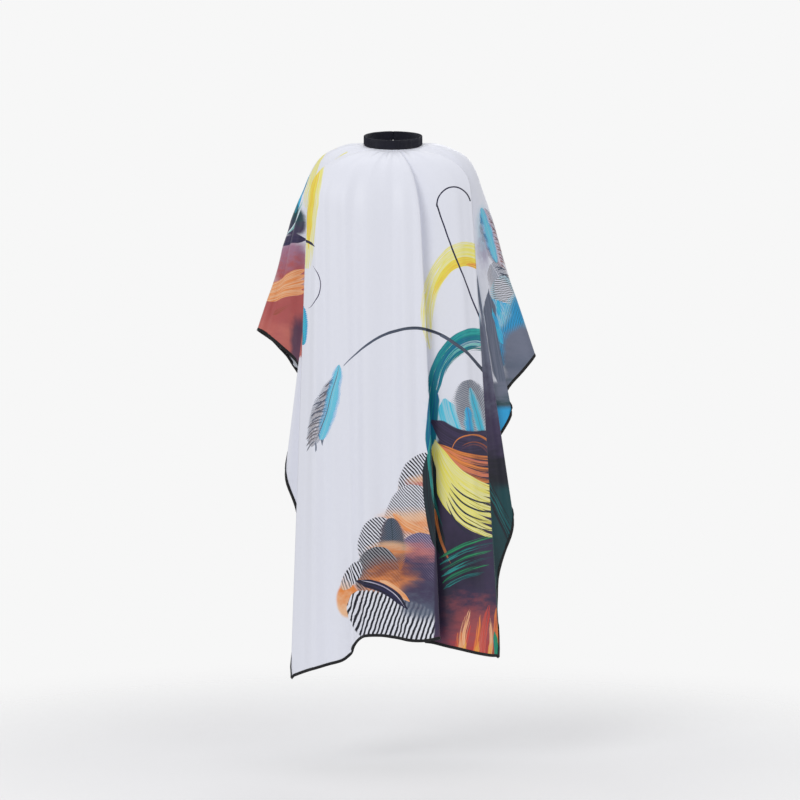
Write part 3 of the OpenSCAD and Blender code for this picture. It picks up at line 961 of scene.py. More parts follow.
def arch_group():
    """A brush stroke round part of an ellipse; From and To are degrees, anticlockwise from the right."""
    i, o = new_group("arch", "Place Centre Radii From To " + PAINT)
    rel = vector("DIVIDE", vector("SUBTRACT", i["Place"], i["Centre"]), i["Radii"])
    x, y, _ = parted(rel)
    rx, ry, _ = parted(i["Radii"])
    size = (rx + ry) * 0.5
    arc = i["To"] - i["From"]
    turned = calc("DEGREES", calc("ARCTAN2", y, x)) - i["From"]
    where = {"Along": calc("FLOORED_MODULO", turned, 360.0) / arc,
             "Across": (vector("LENGTH", rel) - 1.0) * size,
             "Length": calc("RADIANS", arc) * size}
    put(o["Colour"], use_group("paint", {**where, **picked(i, PAINT)})["Colour"])


def vane_group():
    """A feather: two vanes of barbs about a shaft, with frayed edges."""
    i, o = new_group("vane", BENT_LINE + " Below Width Pitch Slant Mirror Contrast Fray Glow Seed"
                     " Colour Second Lines")
    where = use_group("stroke_space", picked(i, BENT_LINE))
    along, across = where["Along"], where["Across"]
    mirror, fray, glow = i["Mirror"], i["Fray"], i["Glow"]
    off = abs(across)
    hump = calc("MAXIMUM", along * 4.0 * (1.0 - along), 0.0001)
    t = off / (calc("POWER", hump, 0.5) * (i["Width"] * 0.5))
    wander = noise(joined(along * 5.0, across * 60.0, i["Seed"]), 1.0)
    sideways = off * mirror + across * (1.0 - mirror)
    run = along * where["Length"] - sideways * i["Slant"]
    phase = run / i["Pitch"] + wander * (fray * 2.0 + 0.5)
    wave = calc("SINE", phase * (2 * math.pi)) * 0.5 + 0.5
    reach = t + fray * (wave * 0.6 + (wander - 0.6))
    inside = ramp(reach, 1.0, 0.93) * (ramp(along, 0.0, 0.01) * ramp(along, 1.0, 0.99))
    rim = ramp(t + (wander - 0.5), 0.25, 0.95) * (1.0 - glow)
    foot = ramp(along + wander * 0.3, 0.62, 0.12) * glow
    colour = mixed(rim + foot, i["Colour"], i["Second"])
    lines = ramp(wave, 0.42, 0.62) * i["Contrast"] * (1.0 - foot * 0.75)
    colour = mixed(lines, colour, i["Lines"])
    shaft = ramp(off, 0.0011, 0.0005) * mirror
    colour = mixed(shaft * 0.6, colour, i["Lines"])
    put(o["Colour"], mixed(inside, i["Below"], colour))


def patch_group():
    """A soft-edged field of colour, from one colour at its top to another at its foot."""
    i, o = new_group("patch", "Below Place Centre Size Square Soft Opacity Colour Second Seed")
    x, y, _ = parted(vector("DIVIDE", vector("SUBTRACT", i["Place"], i["Centre"]), i["Size"]))
    powers = [calc("POWER", abs(c), i["Square"]) for c in (x, y)]
    reach = calc("POWER", powers[0] + powers[1], 1.0 / i["Square"])
    shift = noise(joined(x * 1.6, y * 3.0, i["Seed"]), 1.0, 4.0, 0.6) - 0.5
    inside = ramp(reach + shift * (i["Soft"] * 1.5), i["Soft"] + 1.0, 1.0 - i["Soft"]) * i["Opacity"]
    fall = ramp(y + shift * 2.5, 0.8, -0.8)
    put(o["Colour"], mixed(inside, i["Below"], mixed(fall, i["Colour"], i["Second"])))


stroke_space_group()
paint_group()
brush_group()
arch_group()
vane_group()
patch_group()


class Design:
    """The strokes of one part of the print, in painting order. Places are (across, height), and
    places and lengths are in millimetres. Side is -1 for strokes that are mirrored to the left."""

    def __init__(self):
        self.strokes = []
        self.side = 1

    def lay(self, kind, ends, reach, colours, **values):
        """Add a stroke and the box that it can reach, from its ends and its reach past them."""
        places = {name: np.array((self.side * x, z)) * MM for name, (x, z) in ends.items()}
        low, high = np.min(list(places.values()), axis=0), np.max(list(places.values()), axis=0)
        reach = np.array(reach) * MM
        values.update({name: (*map(float, place), 0) for name, place in places.items()})
        values.update(zip(("Colour", "Second", "Lines"), colours))
        values["Seed"] = SEED_START + SEED_STEP * len(self.strokes)
        self.strokes.append((kind, low - reach, high + reach, values))

    def brush(self, start, end, width, colours, bend=0.0, dry=0.5, streaky=1.0, taper=1.0):
        self.lay("brush", {"Start": start, "End": end}, abs(bend) + width, colours,
                 Bend=self.side * bend * MM, Width=width * MM, Dry=dry, Streaky=streaky, Taper=taper)

    def fan(self, count, first, last, width, pairs, bend=(0.0, 0.0), **paint):
        """Brush strokes from a first (start, end) to a last, whose pairs of colours take turns."""
        for number in range(count):
            f = number / (count - 1)
            start, end = np.array(first) * (1 - f) + np.array(last) * f
            self.brush(start, end, width, pairs[number % len(pairs)],
                       bend=bend[0] * (1 - f) + bend[1] * f, **paint)

    def arch(self, centre, radii, turn, width, colours, dry=0.5, streaky=1.0, taper=1.0):
        self.lay("arch", {"Centre": centre}, np.array(radii) + width, colours,
                 Radii=(radii[0] * MM, radii[1] * MM, 1), From=turn[0], To=turn[1],
                 Width=width * MM, Dry=dry, Streaky=streaky, Taper=taper)

    def vane(self, start, end, width, colours, pitch=5.0, slant=0.7, mirror=1.0, contrast=0.6, fray=0.4,
             bend=0.0, glow=0.0):
        self.lay("vane", {"Start": start, "End": end}, width / 2 + abs(bend), colours,
                 Bend=self.side * bend * MM, Width=width * MM, Pitch=pitch * MM, Slant=slant,
                 Mirror=mirror, Contrast=contrast, Fray=fray, Glow=glow)

    def barbs(self, start, end, count, reach, drop, width, colours):
        """Loose single barbs that leave a shaft on one side and droop by drop; reach is signed."""
        start, end = np.array(start), np.array(end)
        line = (end - start) / np.linalg.norm(end - start)
        out = np.array([-line[1], line[0]])
        for number in range(count):
            f = (number + 0.5) / count
            root = start + (end - start) * f
            length = reach * (0.55 + 0.45 * math.sin(math.pi * f)) * (1 + 0.15 * math.sin(number * 2.4))
            tip = root + out * length + line * drop * (1 + 0.3 * math.sin(number * 4.1))
            self.brush(root, tip, width, colours, bend=0.12 * length, dry=0.25)

    def patch(self, centre, size, colours, square=3.0, soft=0.15, opacity=1.0):
        self.lay("patch", {"Centre": centre}, np.array(size) * (1 + soft), colours,
                 Size=(size[0] * MM, size[1] * MM, 1), Square=square, Soft=soft, Opacity=opacity)

    def colour(self, place, zone_low, zone_high):
        """Chain the strokes that reach a zone over white. Each stroke's place takes a vanishing
        share of the colour below, so the renderer works them out one after another."""
        base = WHITE
        for kind, low, high, values in self.strokes:
            if (low < zone_high).all() and (high > zone_low).all():
                here = vector("MULTIPLY_ADD", base, VANISHING, place) if isinstance(base, Flow) else place
                base = use_group(kind, {"Below": base, "Place": here, **values})["Colour"]
        return base


# Colours of the print
WHITE_RGB = (231, 233, 244)
WHITE = srgb(*WHITE_RGB)
INK = srgb(28, 30, 42)
NAVY = srgb(44, 42, 78)
SLATE = srgb(92, 102, 122)
YELLOW = srgb(238, 228, 92)
STRAW = srgb(236, 232, 170)
GOLD = srgb(238, 196, 70)
ORANGE = srgb(232, 140, 74)
PEACH = srgb(240, 190, 150)
RUST = srgb(150, 84, 58)
BRICK = srgb(178, 88, 88)
SALMON = srgb(206, 118, 106)
RED = srgb(206, 66, 58)
MAUVE = srgb(164, 120, 146)
LILAC = srgb(150, 140, 172)
PLUM = srgb(66, 56, 86)
DUSK = srgb(52, 46, 68)
CYAN = srgb(70, 196, 226)
SKY = srgb(44, 166, 226)
PALE_CYAN = srgb(160, 208, 226)
TEAL = srgb(18, 132, 136)
TURQUOISE = srgb(52, 176, 168)
DEEP_BLUE = srgb(10, 96, 144)
DEEP_TEAL = srgb(22, 70, 76)
PETROL = srgb(32, 52, 58)
GREY = srgb(150, 152, 160)
STONE = srgb(120, 112, 116)
STEEL = srgb(112, 118, 138)
GREEN = srgb(46, 150, 96)


def front_print():
    """The front: brush arches and quills over white, and feathers over a dark ground at the lower right."""
    d = Design()
    # left shoulder and side
    d.brush((-158, 0), (-192, -300), 28, (YELLOW, STRAW), bend=-6, dry=0.58, taper=0.3)
    d.brush((-165, -30), (-190, -255), 13, (GOLD, YELLOW), bend=-6, dry=0.45)
    d.brush((-215, -231), (-174, -249), 6, (NAVY, INK), bend=4, dry=0.1)
    d.arch((-199, -336), (36, 53), (-78, 58), 2, (NAVY, PLUM), dry=0.1)
    d.vane((-205, -380), (-204, -470), 26, (CYAN, SKY, NAVY), pitch=4, contrast=0.35)
    # yellow arch and the thin looped line
    d.arch((165, -415), (89, 150), (38, 206), 46, (YELLOW, STRAW), dry=0.56, taper=0.8)
    d.arch((165, -415), (80, 134), (30, 165), 18, (GOLD, YELLOW), dry=0.5)
    d.arch((170, -415), (70, 126), (30, 95), 10, (GOLD, ORANGE), dry=0.6)
    d.brush((205, -428), (99, -150), 3.6, (INK, NAVY), bend=4, dry=0.0, taper=0.0)
    d.arch((138.5, -154), (38.5, 41), (12, 188), 3.4, (INK, NAVY), dry=0.0, taper=0.0)
    # feathers inside the teal arch, the arch with its leg, and the long quill over it
    d.patch((134, -628), (50, 60), (WHITE, PALE_CYAN), square=2.4, soft=0.4)
    d.vane((200, -690), (164, -548), 94, (GREY, WHITE, SLATE), pitch=5.6, slant=0.9, contrast=0.8,
           fray=0.4, glow=0.6)
    d.brush((116, -590), (150, -700), 42, (PALE_CYAN, CYAN), bend=-4, dry=0.4)
    d.vane((206, -684), (172, -566), 26, (CYAN, PALE_CYAN, SLATE), pitch=4, slant=1.3, contrast=0.35,
           fray=0.7)
    d.vane((176, -694), (166, -610), 22, (SKY, CYAN, SLATE), pitch=4, slant=1.3, contrast=0.35,
           fray=0.7)
    d.arch((185, -600), (96, 146), (64, 190), 40, (TEAL, DEEP_BLUE), dry=0.44)
    d.arch((185, -600), (106, 160), (58, 172), 14, (TURQUOISE, TEAL), dry=0.62)
    d.arch((185, -600), (89, 134), (66, 165), 10, (WHITE, TURQUOISE), dry=0.72)
    d.arch((185, -600), (80, 122), (60, 150), 8, (DEEP_TEAL, TEAL), dry=0.66)
    d.brush((93, -560), (80, -720), 28, (DEEP_BLUE, TEAL), bend=2, dry=0.3)
    d.brush((-113, -519), (212, -542), 7.4, (SLATE, INK), bend=98, dry=0.12, streaky=0.35, taper=0.75)
    d.brush((106, -446.5), (214, -544), 7.4, (SLATE, INK), bend=9.5, dry=0.12, streaky=0.35, taper=0.0)
    # hanging feather: loose grey barbs on its outer side, soft cyan on the other
    d.vane((-128, -540), (-182, -700), 44, (STONE, SLATE, WHITE), pitch=4.6, slant=1.9, contrast=0.85,
           fray=0.9, bend=-3)
    d.barbs((-128, -540), (-172, -690), 18, -26, 26, 3.2, (STONE, SLATE))
    d.barbs((-132, -570), (-174, -695), 8, 16, 26, 2.6, (STEEL, SLATE))
    d.vane((-121, -514), (-162, -684), 32, (CYAN, SKY, PALE_CYAN), pitch=4.4, slant=1.8, contrast=0.7,
           fray=0.8, bend=4)
    d.brush((-120, -512), (-172, -690), 2, (SLATE, STEEL), bend=2, dry=0.2)
    # striped feathers at the middle, from the top down, each with a warm glow at its foot
    d.patch((50, -1000), (70, 115), (PLUM, LILAC), square=2.6, soft=0.3, opacity=0.9)
    stripes = {"mirror": 0.0, "fray": 0.07, "glow": 1.0}
    d.vane((50, -850), (90, -712), 120, (WHITE, PEACH, INK), pitch=7.5, slant=0.7, contrast=1.0,
           **stripes)
    d.patch((70, -776), (34, 14), (PEACH, SALMON), square=2, soft=0.5, opacity=0.8)
    d.vane((26, -960), (50, -782), 122, (WHITE, PEACH, INK), pitch=6.4, slant=0.8, contrast=0.9,
           **stripes)
    d.patch((44, -868), (66, 26), (PEACH, ORANGE), square=2, soft=0.55, opacity=0.9)
    d.brush((0, -848), (96, -902), 22, (ORANGE, PEACH), bend=-6, dry=0.55)
    d.vane((40, -1110), (70, -890), 150, (LILAC, NAVY, NAVY), pitch=5.6, slant=0.8, contrast=0.85,
           **stripes)
    d.patch((52, -945), (60, 30), (SALMON, PLUM), square=2, soft=0.6, opacity=0.75)
    d.patch((50, -1030), (66, 75), (PLUM, SLATE), square=2.4, soft=0.4, opacity=0.9)
    d.vane((-32, -985), (-30, -856), 104, (WHITE, PEACH, INK), pitch=8.5, slant=1.0, contrast=1.0,
           **stripes)
    d.vane((4, -985), (-4, -858), 66, (SLATE, ORANGE, PETROL), pitch=5, slant=0.9, contrast=0.75,
           fray=0.35, glow=0.9)
    d.patch((-4, -928), (42, 16), (PEACH, ORANGE), square=2, soft=0.5, opacity=0.8)
    d.vane((-36, -1056), (-32, -922), 108, (GREY, ORANGE, INK), pitch=8, slant=1.0, contrast=1.0,
           **stripes)
    d.patch((-10, -990), (56, 34), (RUST, ORANGE), square=2, soft=0.55, opacity=0.85)
    # hem: orange tip, comb of stripes, striped band and dark curved quill
    d.patch((-100, -1042), (26, 40), (ORANGE, PEACH), square=2.0, soft=0.12)
    d.vane((-112, -1020), (-74, -958), 34, (WHITE, PEACH, INK), pitch=7.5, slant=0.8, contrast=1.0,
           **stripes)
    d.vane((-100, -1045), (122, -1120), 140, (WHITE, WHITE, INK), pitch=9.5, slant=0.0, mirror=0.0,
           contrast=1.0, fray=0.08, bend=-20)
    d.patch((66, -1040), (46, 40), (PLUM, SLATE), square=2.4, soft=0.35, opacity=0.9)
    d.brush((-30, -998), (40, -1044), 15, (ORANGE, PEACH), bend=3, dry=0.35)
    d.brush((-84, -1000), (36, -1062), 22, (NAVY, INK), bend=14, dry=0.08)
    d.brush((-74, -998), (28, -1056), 2.6, (LILAC, WHITE), bend=14, dry=0.3)
    # dark ground of the lower right
    d.patch((204, -960), (112, 295), (DUSK, PLUM), square=9, soft=0.025)
    d.brush((86, -640), (240, -672), 50, (DUSK, PLUM), bend=-30, dry=0.1)
    d.patch((150, -1020), (50, 110), (INK, DUSK), square=2.4, soft=0.45, opacity=0.8)
    d.arch((178, -712), (46, 40), (10, 170), 5, (RUST, ORANGE), dry=0.62)
    d.arch((182, -720), (34, 28), (0, 160), 10, (PLUM, RUST), dry=0.66)
    # orange bands, then the yellow sweep with dark gaps in it
    d.fan(7, ((98, -690), (250, -726)), ((106, -704), (250, -806)), 11, [(RUST, ORANGE), (ORANGE, SALMON)],
          bend=(-12, -32), dry=0.58)
    d.fan(8, ((94, -682), (254, -802)), ((90, -692), (254, -912)), 17, [(YELLOW, STRAW)], bend=(-26, -56),
          dry=0.48)
    d.fan(5, ((130, -780), (246, -826)), ((120, -820), (246, -906)), 4, [(DUSK, PETROL)], bend=(-18, -32),
          dry=0.58)
    # dark strokes beside the fold
    d.brush((83, -700), (118, -960), 34, (INK, PETROL), bend=-14, dry=0.3)
    d.brush((96, -830), (130, -962), 7, (ORANGE, RUST), bend=-8, dry=0.58)
    d.brush((84, -670), (114, -880), 8, (TURQUOISE, DEEP_TEAL), bend=-14, dry=0.62)
    # teal streaks, ribs and the warm tips at the hem
    d.fan(6, ((102, -950), (250, -900)), ((114, -1020), (210, -982)), 9,
          [(DEEP_TEAL, GREEN), (TURQUOISE, DEEP_TEAL)], bend=(10, 10), dry=0.66)
    d.patch((180, -1055), (50, 50), (PLUM, BRICK), square=2, soft=0.6, opacity=0.6)
    d.patch((196, -1140), (70, 50), (BRICK, RED), square=2.2, soft=0.6, opacity=0.8)
    warm = [(RED, ORANGE), (SALMON, RED), (ORANGE, PEACH), (RED, RUST)]
    for number in range(9):
        f = number / 8
        tip = (150 + 92 * f + 12 * (number % 2), -1105 + 18 * (number % 3) + 28 * f)
        d.brush((126 + 118 * f, -1200), tip, 18, warm[number % 4], bend=8 * (number % 3 - 1), dry=0.62)
    d.fan(3, ((150, -1195), (164, -1135)), ((214, -1195), (220, -1135)), 10, [(GOLD, ORANGE)], dry=0.6)
    d.brush((236, -1185), (228, -1115), 10, (GREEN, TEAL), dry=0.4)
    return d


def wing_print():
    """The wings over the arms and the folds below them."""
    d = Design()
    d.brush((-146, 20), (-172, -160), 30, (YELLOW, STRAW), bend=-4, dry=0.58, taper=0.2)
    # left wing
    d.patch((-270, -455), (118, 130), (BRICK, SALMON), square=4, soft=0.08)
    d.patch((-225, -285), (52, 52), (MAUVE, BRICK), square=2.5, soft=0.3)
    d.fan(5, ((-290, -352), (-180, -298)), ((-290, -372), (-180, -350)), 15, [(ORANGE, PEACH)], bend=(6, 6),
          dry=0.35)
    d.brush((-275, -402), (-215, -376), 12, (RUST, BRICK), dry=0.65)
    d.brush((-270, -246), (-178, -232), 22, (NAVY, PLUM), bend=8, dry=0.15)
    d.patch((-213, -192), (34, 34), (DEEP_TEAL, PLUM), square=2.5, soft=0.2)
    d.fan(5, ((-240, -222), (-196, -165)), ((-216, -206), (-184, -141)), 3.2, [(WHITE, TURQUOISE)],
          bend=(-4, -4), dry=0.4)
    d.brush((-214, -172), (-187, -86), 15, (TEAL, DEEP_BLUE), bend=5, dry=0.45)
    d.brush((-205, -160), (-186, -80), 6, (CYAN, SKY), bend=4, dry=0.4)
    # painted shade: a dark navy patch at the inner foot of the left wing, where shadow falls
    d.patch((-205, -475), (22, 65), (NAVY, PLUM), square=2.5, soft=0.35, opacity=0.85)
    # right wing: frayed feathers over white, blue strokes and a grey foot
    d.patch((182, -230), (18, 60), (PALE_CYAN, LILAC), square=2, soft=0.6, opacity=0.7)
    d.vane((184, -160), (236, -296), 56, (MAUVE, PLUM, WHITE), pitch=4.4, slant=1.7, contrast=0.9,
           fray=0.9)
    d.barbs((196, -180), (234, -290), 14, 30, 22, 2.4, (PLUM, RUST))
    d.vane((176, -158), (222, -285), 28, (CYAN, SKY, PALE_CYAN), pitch=4.6, slant=1.7, contrast=0.7,
           fray=0.8)
    d.vane((206, -285), (290, -405), 70, (SLATE, STONE, WHITE), pitch=5, slant=1.5, contrast=0.85,
           fray=0.8)
    d.barbs((214, -290), (290, -400), 16, 36, 22, 2.8, (SLATE, INK))
    d.vane((220, -320), (316, -440), 110, (WHITE, PALE_CYAN, INK), pitch=5.8, slant=0.9, mirror=0.0,
           contrast=0.85, fray=0.6)
    d.fan(5, ((206, -362), (262, -510)), ((241, -374), (322, -470)), 30, [(CYAN, SKY), (SKY, PALE_CYAN)],
          dry=0.55)
    d.vane((300, -345), (232, -520), 92, (SKY, PALE_CYAN, INK), pitch=8.5, slant=1.6, mirror=0.0,
           contrast=0.55, fray=0.7)
    d.patch((318, -505), (80, 78), (STEEL, SLATE), square=3, soft=0.14)
    d.patch((300, -565), (70, 34), (STEEL, DEEP_TEAL), square=2.5, soft=0.4)
    # the fold below the right wing
    d.brush((192, -340), (216, -590), 50, (STEEL, SLATE), dry=0.35)
    d.brush((196, -385), (240, -470), 24, (SKY, CYAN), dry=0.5)
    d.patch((215, -600), (90, 45), (STEEL, DEEP_TEAL), square=4, soft=0.12)
    d.patch((225, -680), (85, 65), (SKY, SKY), square=4, soft=0.12)
    d.fan(4, ((170, -730), (250, -600)), ((200, -730), (270, -620)), 14, [(CYAN, PALE_CYAN)], dry=0.66)
    return d


def fold_print():
    """The narrow folds between the front and the wings: dark on the right, plain on the left."""
    d = Design()
    d.patch((265, -560), (85, 150), (STEEL, PLUM), square=4, soft=0.12)
    d.fan(4, ((196, -300), (214, -455)), ((262, -300), (280, -455)), 20,
          [(STEEL, SLATE), (CYAN, PALE_CYAN)], dry=0.55)
    d.patch((310, -960), (130, 270), (DEEP_TEAL, PETROL), square=6, soft=0.06)
    d.patch((300, -720), (130, 70), (PLUM, INK), square=3, soft=0.3)
    d.fan(7, ((225, -740), (340, -960)), ((245, -810), (340, -1010)), 11, [(PETROL, INK), (TEAL, PETROL)],
          dry=0.66)
    return d


def back_print():
    """The back, in the same colours: a broad arch, a feather and a quill on each half."""
    d = Design()
    for side, near, wide, dark, core, pale in ((-1, SALMON, ORANGE, BRICK, TEAL, PEACH),
                                               (1, STEEL, SKY, DEEP_TEAL, CYAN, PALE_CYAN)):
        d.side = side
        d.patch((385, -440), (105, 180), (near, dark), square=3, soft=0.06)
        d.fan(7, ((300, -300), (400, -560)), ((324, -330), (420, -580)), 18, [(dark, wide), (near, dark)],
              bend=(-14, -14), dry=0.6)
        d.fan(4, ((360, -330), (520, -430)), ((380, -380), (490, -520)), 24, [(wide, pale)], bend=(12, 12),
              dry=0.55)
        d.arch((640, -640), (135, 190), (15, 165), 42, (wide, near), dry=0.55)
        d.arch((640, -640), (110, 150), (20, 160), 16, (core, WHITE), dry=0.65)
        d.vane((500, -560), (640, -780), 120, (GREY, WHITE, INK), pitch=6.2, contrast=0.8, fray=0.3)
        d.vane((760, -300), (820, -470), 60, (core, GREY, SLATE), pitch=4.6, slant=1.1, contrast=0.4,
               fray=0.8)
        d.brush((420, -260), (860, -400), 6, (SLATE, INK), bend=60, dry=0.1, streaky=0.35)
        d.fan(5, ((800, -560), (960, -640)), ((770, -580), (940, -632)), 10, [(YELLOW, STRAW)],
              bend=(-12, -12), dry=0.5)
    return d


# ---------------------------------------------------------------- fabric materials

def weave(place, pitch):
    """Height of fine crossed threads."""
    x, y, _ = parted(place)
    return (calc("SINE", x * (2 * math.pi / pitch)) + calc("SINE", y * (2 * math.pi / pitch))) * 0.25


def fabric(name, colour_of, pitch, rough, sheen, bump, slub=0.02, shine=0.35):
    """Woven cloth: colour_of(place) gives its colour, and threads and slubs roughen it."""
    material = bpy.data.materials.new(name)
    material.use_nodes = True
    place = Flow(material.node_tree.nodes.new("ShaderNodeUVMap").outputs["UV"])
    grain = noise(place, 90.0, 3.0)
    threads = weave(place, pitch)
    shade = (grain - 0.5) * (slub * 3) + threads * slub
    tint = add_node("HueSaturation", {"Value": shade + 1.0, "Color": colour_of(place)})
    relief = add_node("Bump", {"Strength": bump, "Distance": 0.0003, "Height": threads + grain})
    shader = material.node_tree.nodes["Principled BSDF"]
    for label, value in {"Base Color": Flow(tint.outputs[0]), "Normal": Flow(relief.outputs[0]),
                         "Roughness": grain * 0.16 + (rough - 0.08), "Sheen Weight": sheen,
                         "Sheen Roughness": 0.4, "Specular IOR Level": shine}.items():
        put(shader.inputs[label], value)
    return material


def drifting(first, second):
    """A colour that drifts a little between two given ones."""
    return lambda place: mixed(noise(place, 25.0, 3.0), srgb(*first), srgb(*second))


def zone_numbers(lines, x, z):
    """The zone of each face, from its line number and its place on the print."""
    part = np.searchsorted(LAST_LINES, lines)
    out = np.zeros(len(lines), dtype=int)
    for number, (_, own, _, (x1, x2, z1, z2)) in enumerate(ZONES):
        out[(part == own) & (x >= x1) & (x < x2) & (z >= z1) & (z < z2)] = number
    return out


def print_material(name, design, limits):
    """The printed cloth of one zone, with only the strokes that reach it."""
    x1, x2, z1, z2 = limits
    low, high = np.array((x1, z1)) - ZONE_MARGIN, np.array((x2, z2)) + ZONE_MARGIN

    def colour_of(place):
        drift = noise(place, 14.0) - 0.5
        return design.colour(vector("ADD", place, joined(drift * 0.006, drift * -0.004)), low, high)
    return fabric(f"cloth_{name}", colour_of, CLOTH_WEAVE, 0.42, 0.25, 0.12, slub=0.008)


# Zones of the print: name, part of the cloth, design, and the across and height limits
FRONT, FOLDS, WINGS, BACK = range(4)
FAR = 9.0
SPLIT_X = -0.050
ZONE_MARGIN = 0.02
on_front, on_folds, on_wings, on_back = front_print(), fold_print(), wing_print(), back_print()
ZONES = [
    ("front_left_top", FRONT, on_front, (-FAR, SPLIT_X, -0.50, FAR)),
    ("front_left_low", FRONT, on_front, (-FAR, SPLIT_X, -0.85, -0.50)),
    ("front_left_hem", FRONT, on_front, (-FAR, SPLIT_X, -FAR, -0.85)),
    ("front_top", FRONT, on_front, (SPLIT_X, FAR, -0.42, FAR)),
    ("front_middle", FRONT, on_front, (SPLIT_X, FAR, -0.68, -0.42)),
    ("front_low", FRONT, on_front, (SPLIT_X, FAR, -0.93, -0.68)),
    ("front_hem", FRONT, on_front, (SPLIT_X, FAR, -FAR, -0.93)),
    ("folds_left_top", FOLDS, on_wings, (-FAR, 0.0, -0.50, FAR)),
    ("folds_left_low", FOLDS, on_folds, (-FAR, 0.0, -FAR, -0.50)),
    ("folds_right", FOLDS, on_folds, (0.0, FAR, -FAR, FAR)),
    ("wing_left", WINGS, on_wings, (-FAR, 0.0, -FAR, FAR)),
    ("wing_right", WINGS, on_wings, (0.0, FAR, -FAR, FAR)),
    ("back_left", BACK, on_back, (-FAR, 0.0, -FAR, FAR)),
    ("back_right", BACK, on_back, (0.0, FAR, -FAR, FAR)),
]
CLOTH_WEAVE = 0.0009             # pitch of the cloth's threads

M_CLOTH = [print_material(name, design, limits) for name, _, design, limits in ZONES]
M_WHITE = fabric("cloth_plain_white", drifting(WHITE_RGB, WHITE_RGB), CLOTH_WEAVE, 0.42, 0.25, 0.12)
M_REVERSE = fabric("cloth_reverse", drifting((205, 209, 218), (212, 216, 224)), CLOTH_WEAVE, 0.55, 0.2,
                   0.15)
M_TAPE = fabric("binding_tape", drifting((16, 16, 19), (26, 26, 30)), 0.0007, 0.62, 0.25, 0.6, slub=0.08)
M_THREAD = fabric("thread", drifting((30, 30, 34), (44, 44, 50)), 0.0004, 0.5, 0.3, 0.4)
M_BAND = fabric("neckband_knit", drifting((20, 21, 32), (32, 33, 48)), 0.0014, 0.8, 0.35, 0.9, slub=0.15)
M_ELASTIC = fabric("elastic_webbing", drifting((44, 44, 52), (58, 58, 66)), 0.0018, 0.8, 0.2, 0.8, slub=0.1)
M_SNAP = fabric("snap_plastic", drifting((24, 24, 28), (24, 24, 28)), 0.01, 0.28, 0.0, 0.03, shine=0.5)
M_LABEL = fabric("label_satin", drifting((232, 232, 230), (222, 222, 224)), 0.0006, 0.4, 0.3, 0.3)


# ---------------------------------------------------------------- build everything

V_COARSE = np.concatenate([np.linspace(0, SHOULDER_V, SHOULDER_ROWS + 1)[:-1],
                           np.linspace(SHOULDER_V, 1, HANGING_ROWS + 1)])
K_COARSE, DRAPE = drape_grid(PER_LINE, V_COARSE)
ANGLES = np.degrees(np.arctan2(DRAPE[:, 0, 0],
                               -DRAPE[:, 0, 1] * math.cos(TILT) - DRAPE[:, 0, 2] * math.sin(TILT)))
FOLDED = soft_folds(K_COARSE, V_COARSE, DRAPE)
SETTLED = simulate(K_COARSE, V_COARSE, FOLDED)
K_FINE = np.linspace(-SLIT_LINE, SLIT_LINE, (len(K_COARSE) - 1) * FINE + 1)
V_FINE = np.interp(np.arange((len(V_COARSE) - 1) * FINE + 1) / FINE, np.arange(len(V_COARSE)), V_COARSE)
CLOTH = refine(refine(SETTLED, FINE, 0), FINE, 1)
PRINT_UV = print_coordinates(K_FINE, refine(refine(DRAPE, FINE, 0), FINE, 1))
gathers(K_FINE, V_FINE, CLOTH, grid_normals(CLOTH))
NORMALS = grid_normals(CLOTH)

PANELS = {0: np.abs(K_FINE) <= SPLIT_LINE, 1: K_FINE >= SPLIT_LINE, -1: K_FINE <= -SPLIT_LINE}
PANEL_NODES = {0: "cape_cloth", 1: "back_flap_right", -1: "back_flap_left"}
TAPE_NODES = {0: ("front_hem_tape", "side_tape_left", "side_tape_right"),
              1: ("back_hem_tape_right", "flap_tape_right"), -1: ("back_hem_tape_left", "flap_tape_left")}
BAND_ARCS = {0: (-122, 122), 1: (122, 179), -1: (181, 238)}
for side, word in SIDE_NAMES.items():
    panel = cloth_panel(f"cape_cloth_{word if side else 'main'}", side, np.where(PANELS[side])[0],
                        [*M_CLOTH, M_REVERSE])
    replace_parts(panel, PANEL_NODES[side])
    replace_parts(bind_edge(side, M_TAPE, M_THREAD), *TAPE_NODES[side])
    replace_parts(neckband(side, *BAND_ARCS[side], M_BAND, M_THREAD), f"band_casing_{word}")
    gathered_lip(side, *BAND_ARCS[side], M_WHITE)
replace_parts(closure_tab(M_BAND, M_THREAD), "tab_face", "tab_lining", "tab_anchor")
snaps(M_SNAP)
hanging_loop(M_TAPE, M_THREAD)
care_label(M_LABEL, M_THREAD)
for name, material in {"elastic_front": M_ELASTIC, "elastic_left": M_ELASTIC, "elastic_right": M_ELASTIC,
                       "snap_socket_caps": M_SNAP}.items():
    node = frame["nodes"][name]
    node.data.materials.clear()
    node.data.materials.append(material)


# ---------------------------------------------------------------- camera, light and floor

FLOOR_Z = -1.42
FLOOR_HALF = 8
FLOOR_FADE = (0.5, 1.7)          # distances from the cape between which the floor fades away
VIEW_W = 1.840                   # width of the view at the cape, metres
CAMERA_DISTANCE = 5.5
CAMERA_Z = -0.45
AIM = (0.016, -0.597)            # across and height at the middle of the view
BACKDROP = 0.93
SOFT_LIGHT = 0.58
LIGHTS = [                       # name, place, target, size and power
    ("key", (-2.2, -3.2, 1.6), (0, 0, -0.5), 2.2, 50),
    ("fill", (2.6, -3.0, 0.6), (0, 0, -0.6), 2.4, 20),
    ("top", (0, 0.6, 2.4), (0, 0, -0.3), 2.0, 14),
    ("back", (0.8, 3.4, 1.2), (0, 0, -0.5), 2.4, 22),
]


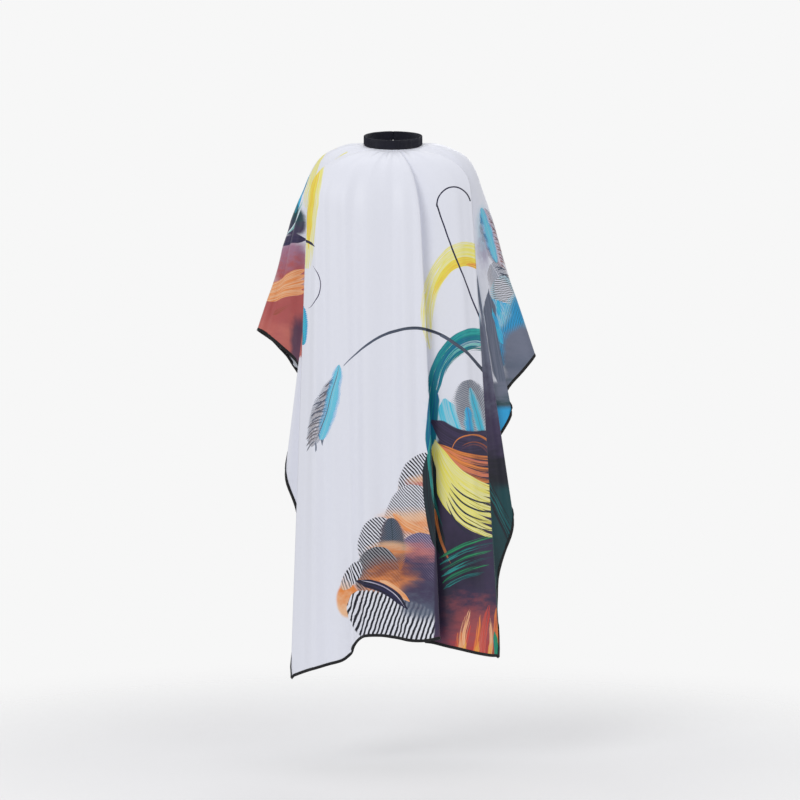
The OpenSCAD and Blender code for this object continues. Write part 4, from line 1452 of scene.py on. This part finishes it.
def add_camera():
    camera = bpy.data.cameras.new("camera")
    camera.sensor_width = 36
    camera.lens = camera.sensor_width * CAMERA_DISTANCE / VIEW_W
    camera.shift_y = (AIM[1] - CAMERA_Z) / VIEW_W
    obj = add_object("camera", camera)
    obj.location = (AIM[0], -CAMERA_DISTANCE, CAMERA_Z)
    obj.rotation_euler = (math.pi / 2, 0, 0)
    bpy.context.scene.camera = obj


def add_light(name, place, target, size, power):
    """A round soft light that faces its target."""
    light = bpy.data.lights.new(name, "AREA")
    light.shape = "DISK"
    light.size = size
    light.energy = power
    obj = add_object(name, light)
    obj.location = place
    x, y, z = np.array(target) - np.array(place)
    obj.rotation_euler = (math.pi / 2 + math.atan2(z, math.hypot(x, y)), 0, math.atan2(y, x) - math.pi / 2)


def add_floor():
    """A pale floor that fades into the backdrop colour away from the cape."""
    mesh = bpy.data.meshes.new("floor")
    corners = [(-1, -1), (1, -1), (1, 1), (-1, 1)]
    mesh.from_pydata([(x * FLOOR_HALF, y * FLOOR_HALF, FLOOR_Z) for x, y in corners], [], [(0, 1, 2, 3)])
    material = bpy.data.materials.new("floor")
    material.use_nodes = True
    shader = material.node_tree.nodes["Principled BSDF"]
    place = Flow(material.node_tree.nodes.new("ShaderNodeNewGeometry").outputs["Position"])
    away = vector("LENGTH", vector("MULTIPLY", place, (1, 1, 0)))
    put(shader.inputs["Base Color"], mixed(noise(place, 3.0), srgb(244, 244, 246), srgb(248, 248, 250)))
    put(shader.inputs["Alpha"], ramp(away, FLOOR_FADE[1], FLOOR_FADE[0]))
    put(shader.inputs["Roughness"], 0.8)
    mesh.materials.append(material)
    add_object("floor", mesh)


def add_world():
    """Soft light from all round; the camera sees a brighter, plain backdrop."""
    world = bpy.data.worlds.new("studio")
    world.use_nodes = True
    nodes = world.node_tree.nodes
    seen = Flow(nodes.new("ShaderNodeLightPath").outputs["Is Camera Ray"])
    put(nodes["Background"].inputs["Color"], (1, 1, 1, 1))
    put(nodes["Background"].inputs["Strength"], seen * (BACKDROP - SOFT_LIGHT) + SOFT_LIGHT)
    bpy.context.scene.world = world


add_camera()
add_world()
add_floor()
for light_values in LIGHTS:
    add_light(*light_values)
bpy.context.scene.view_settings.view_transform = "Standard"
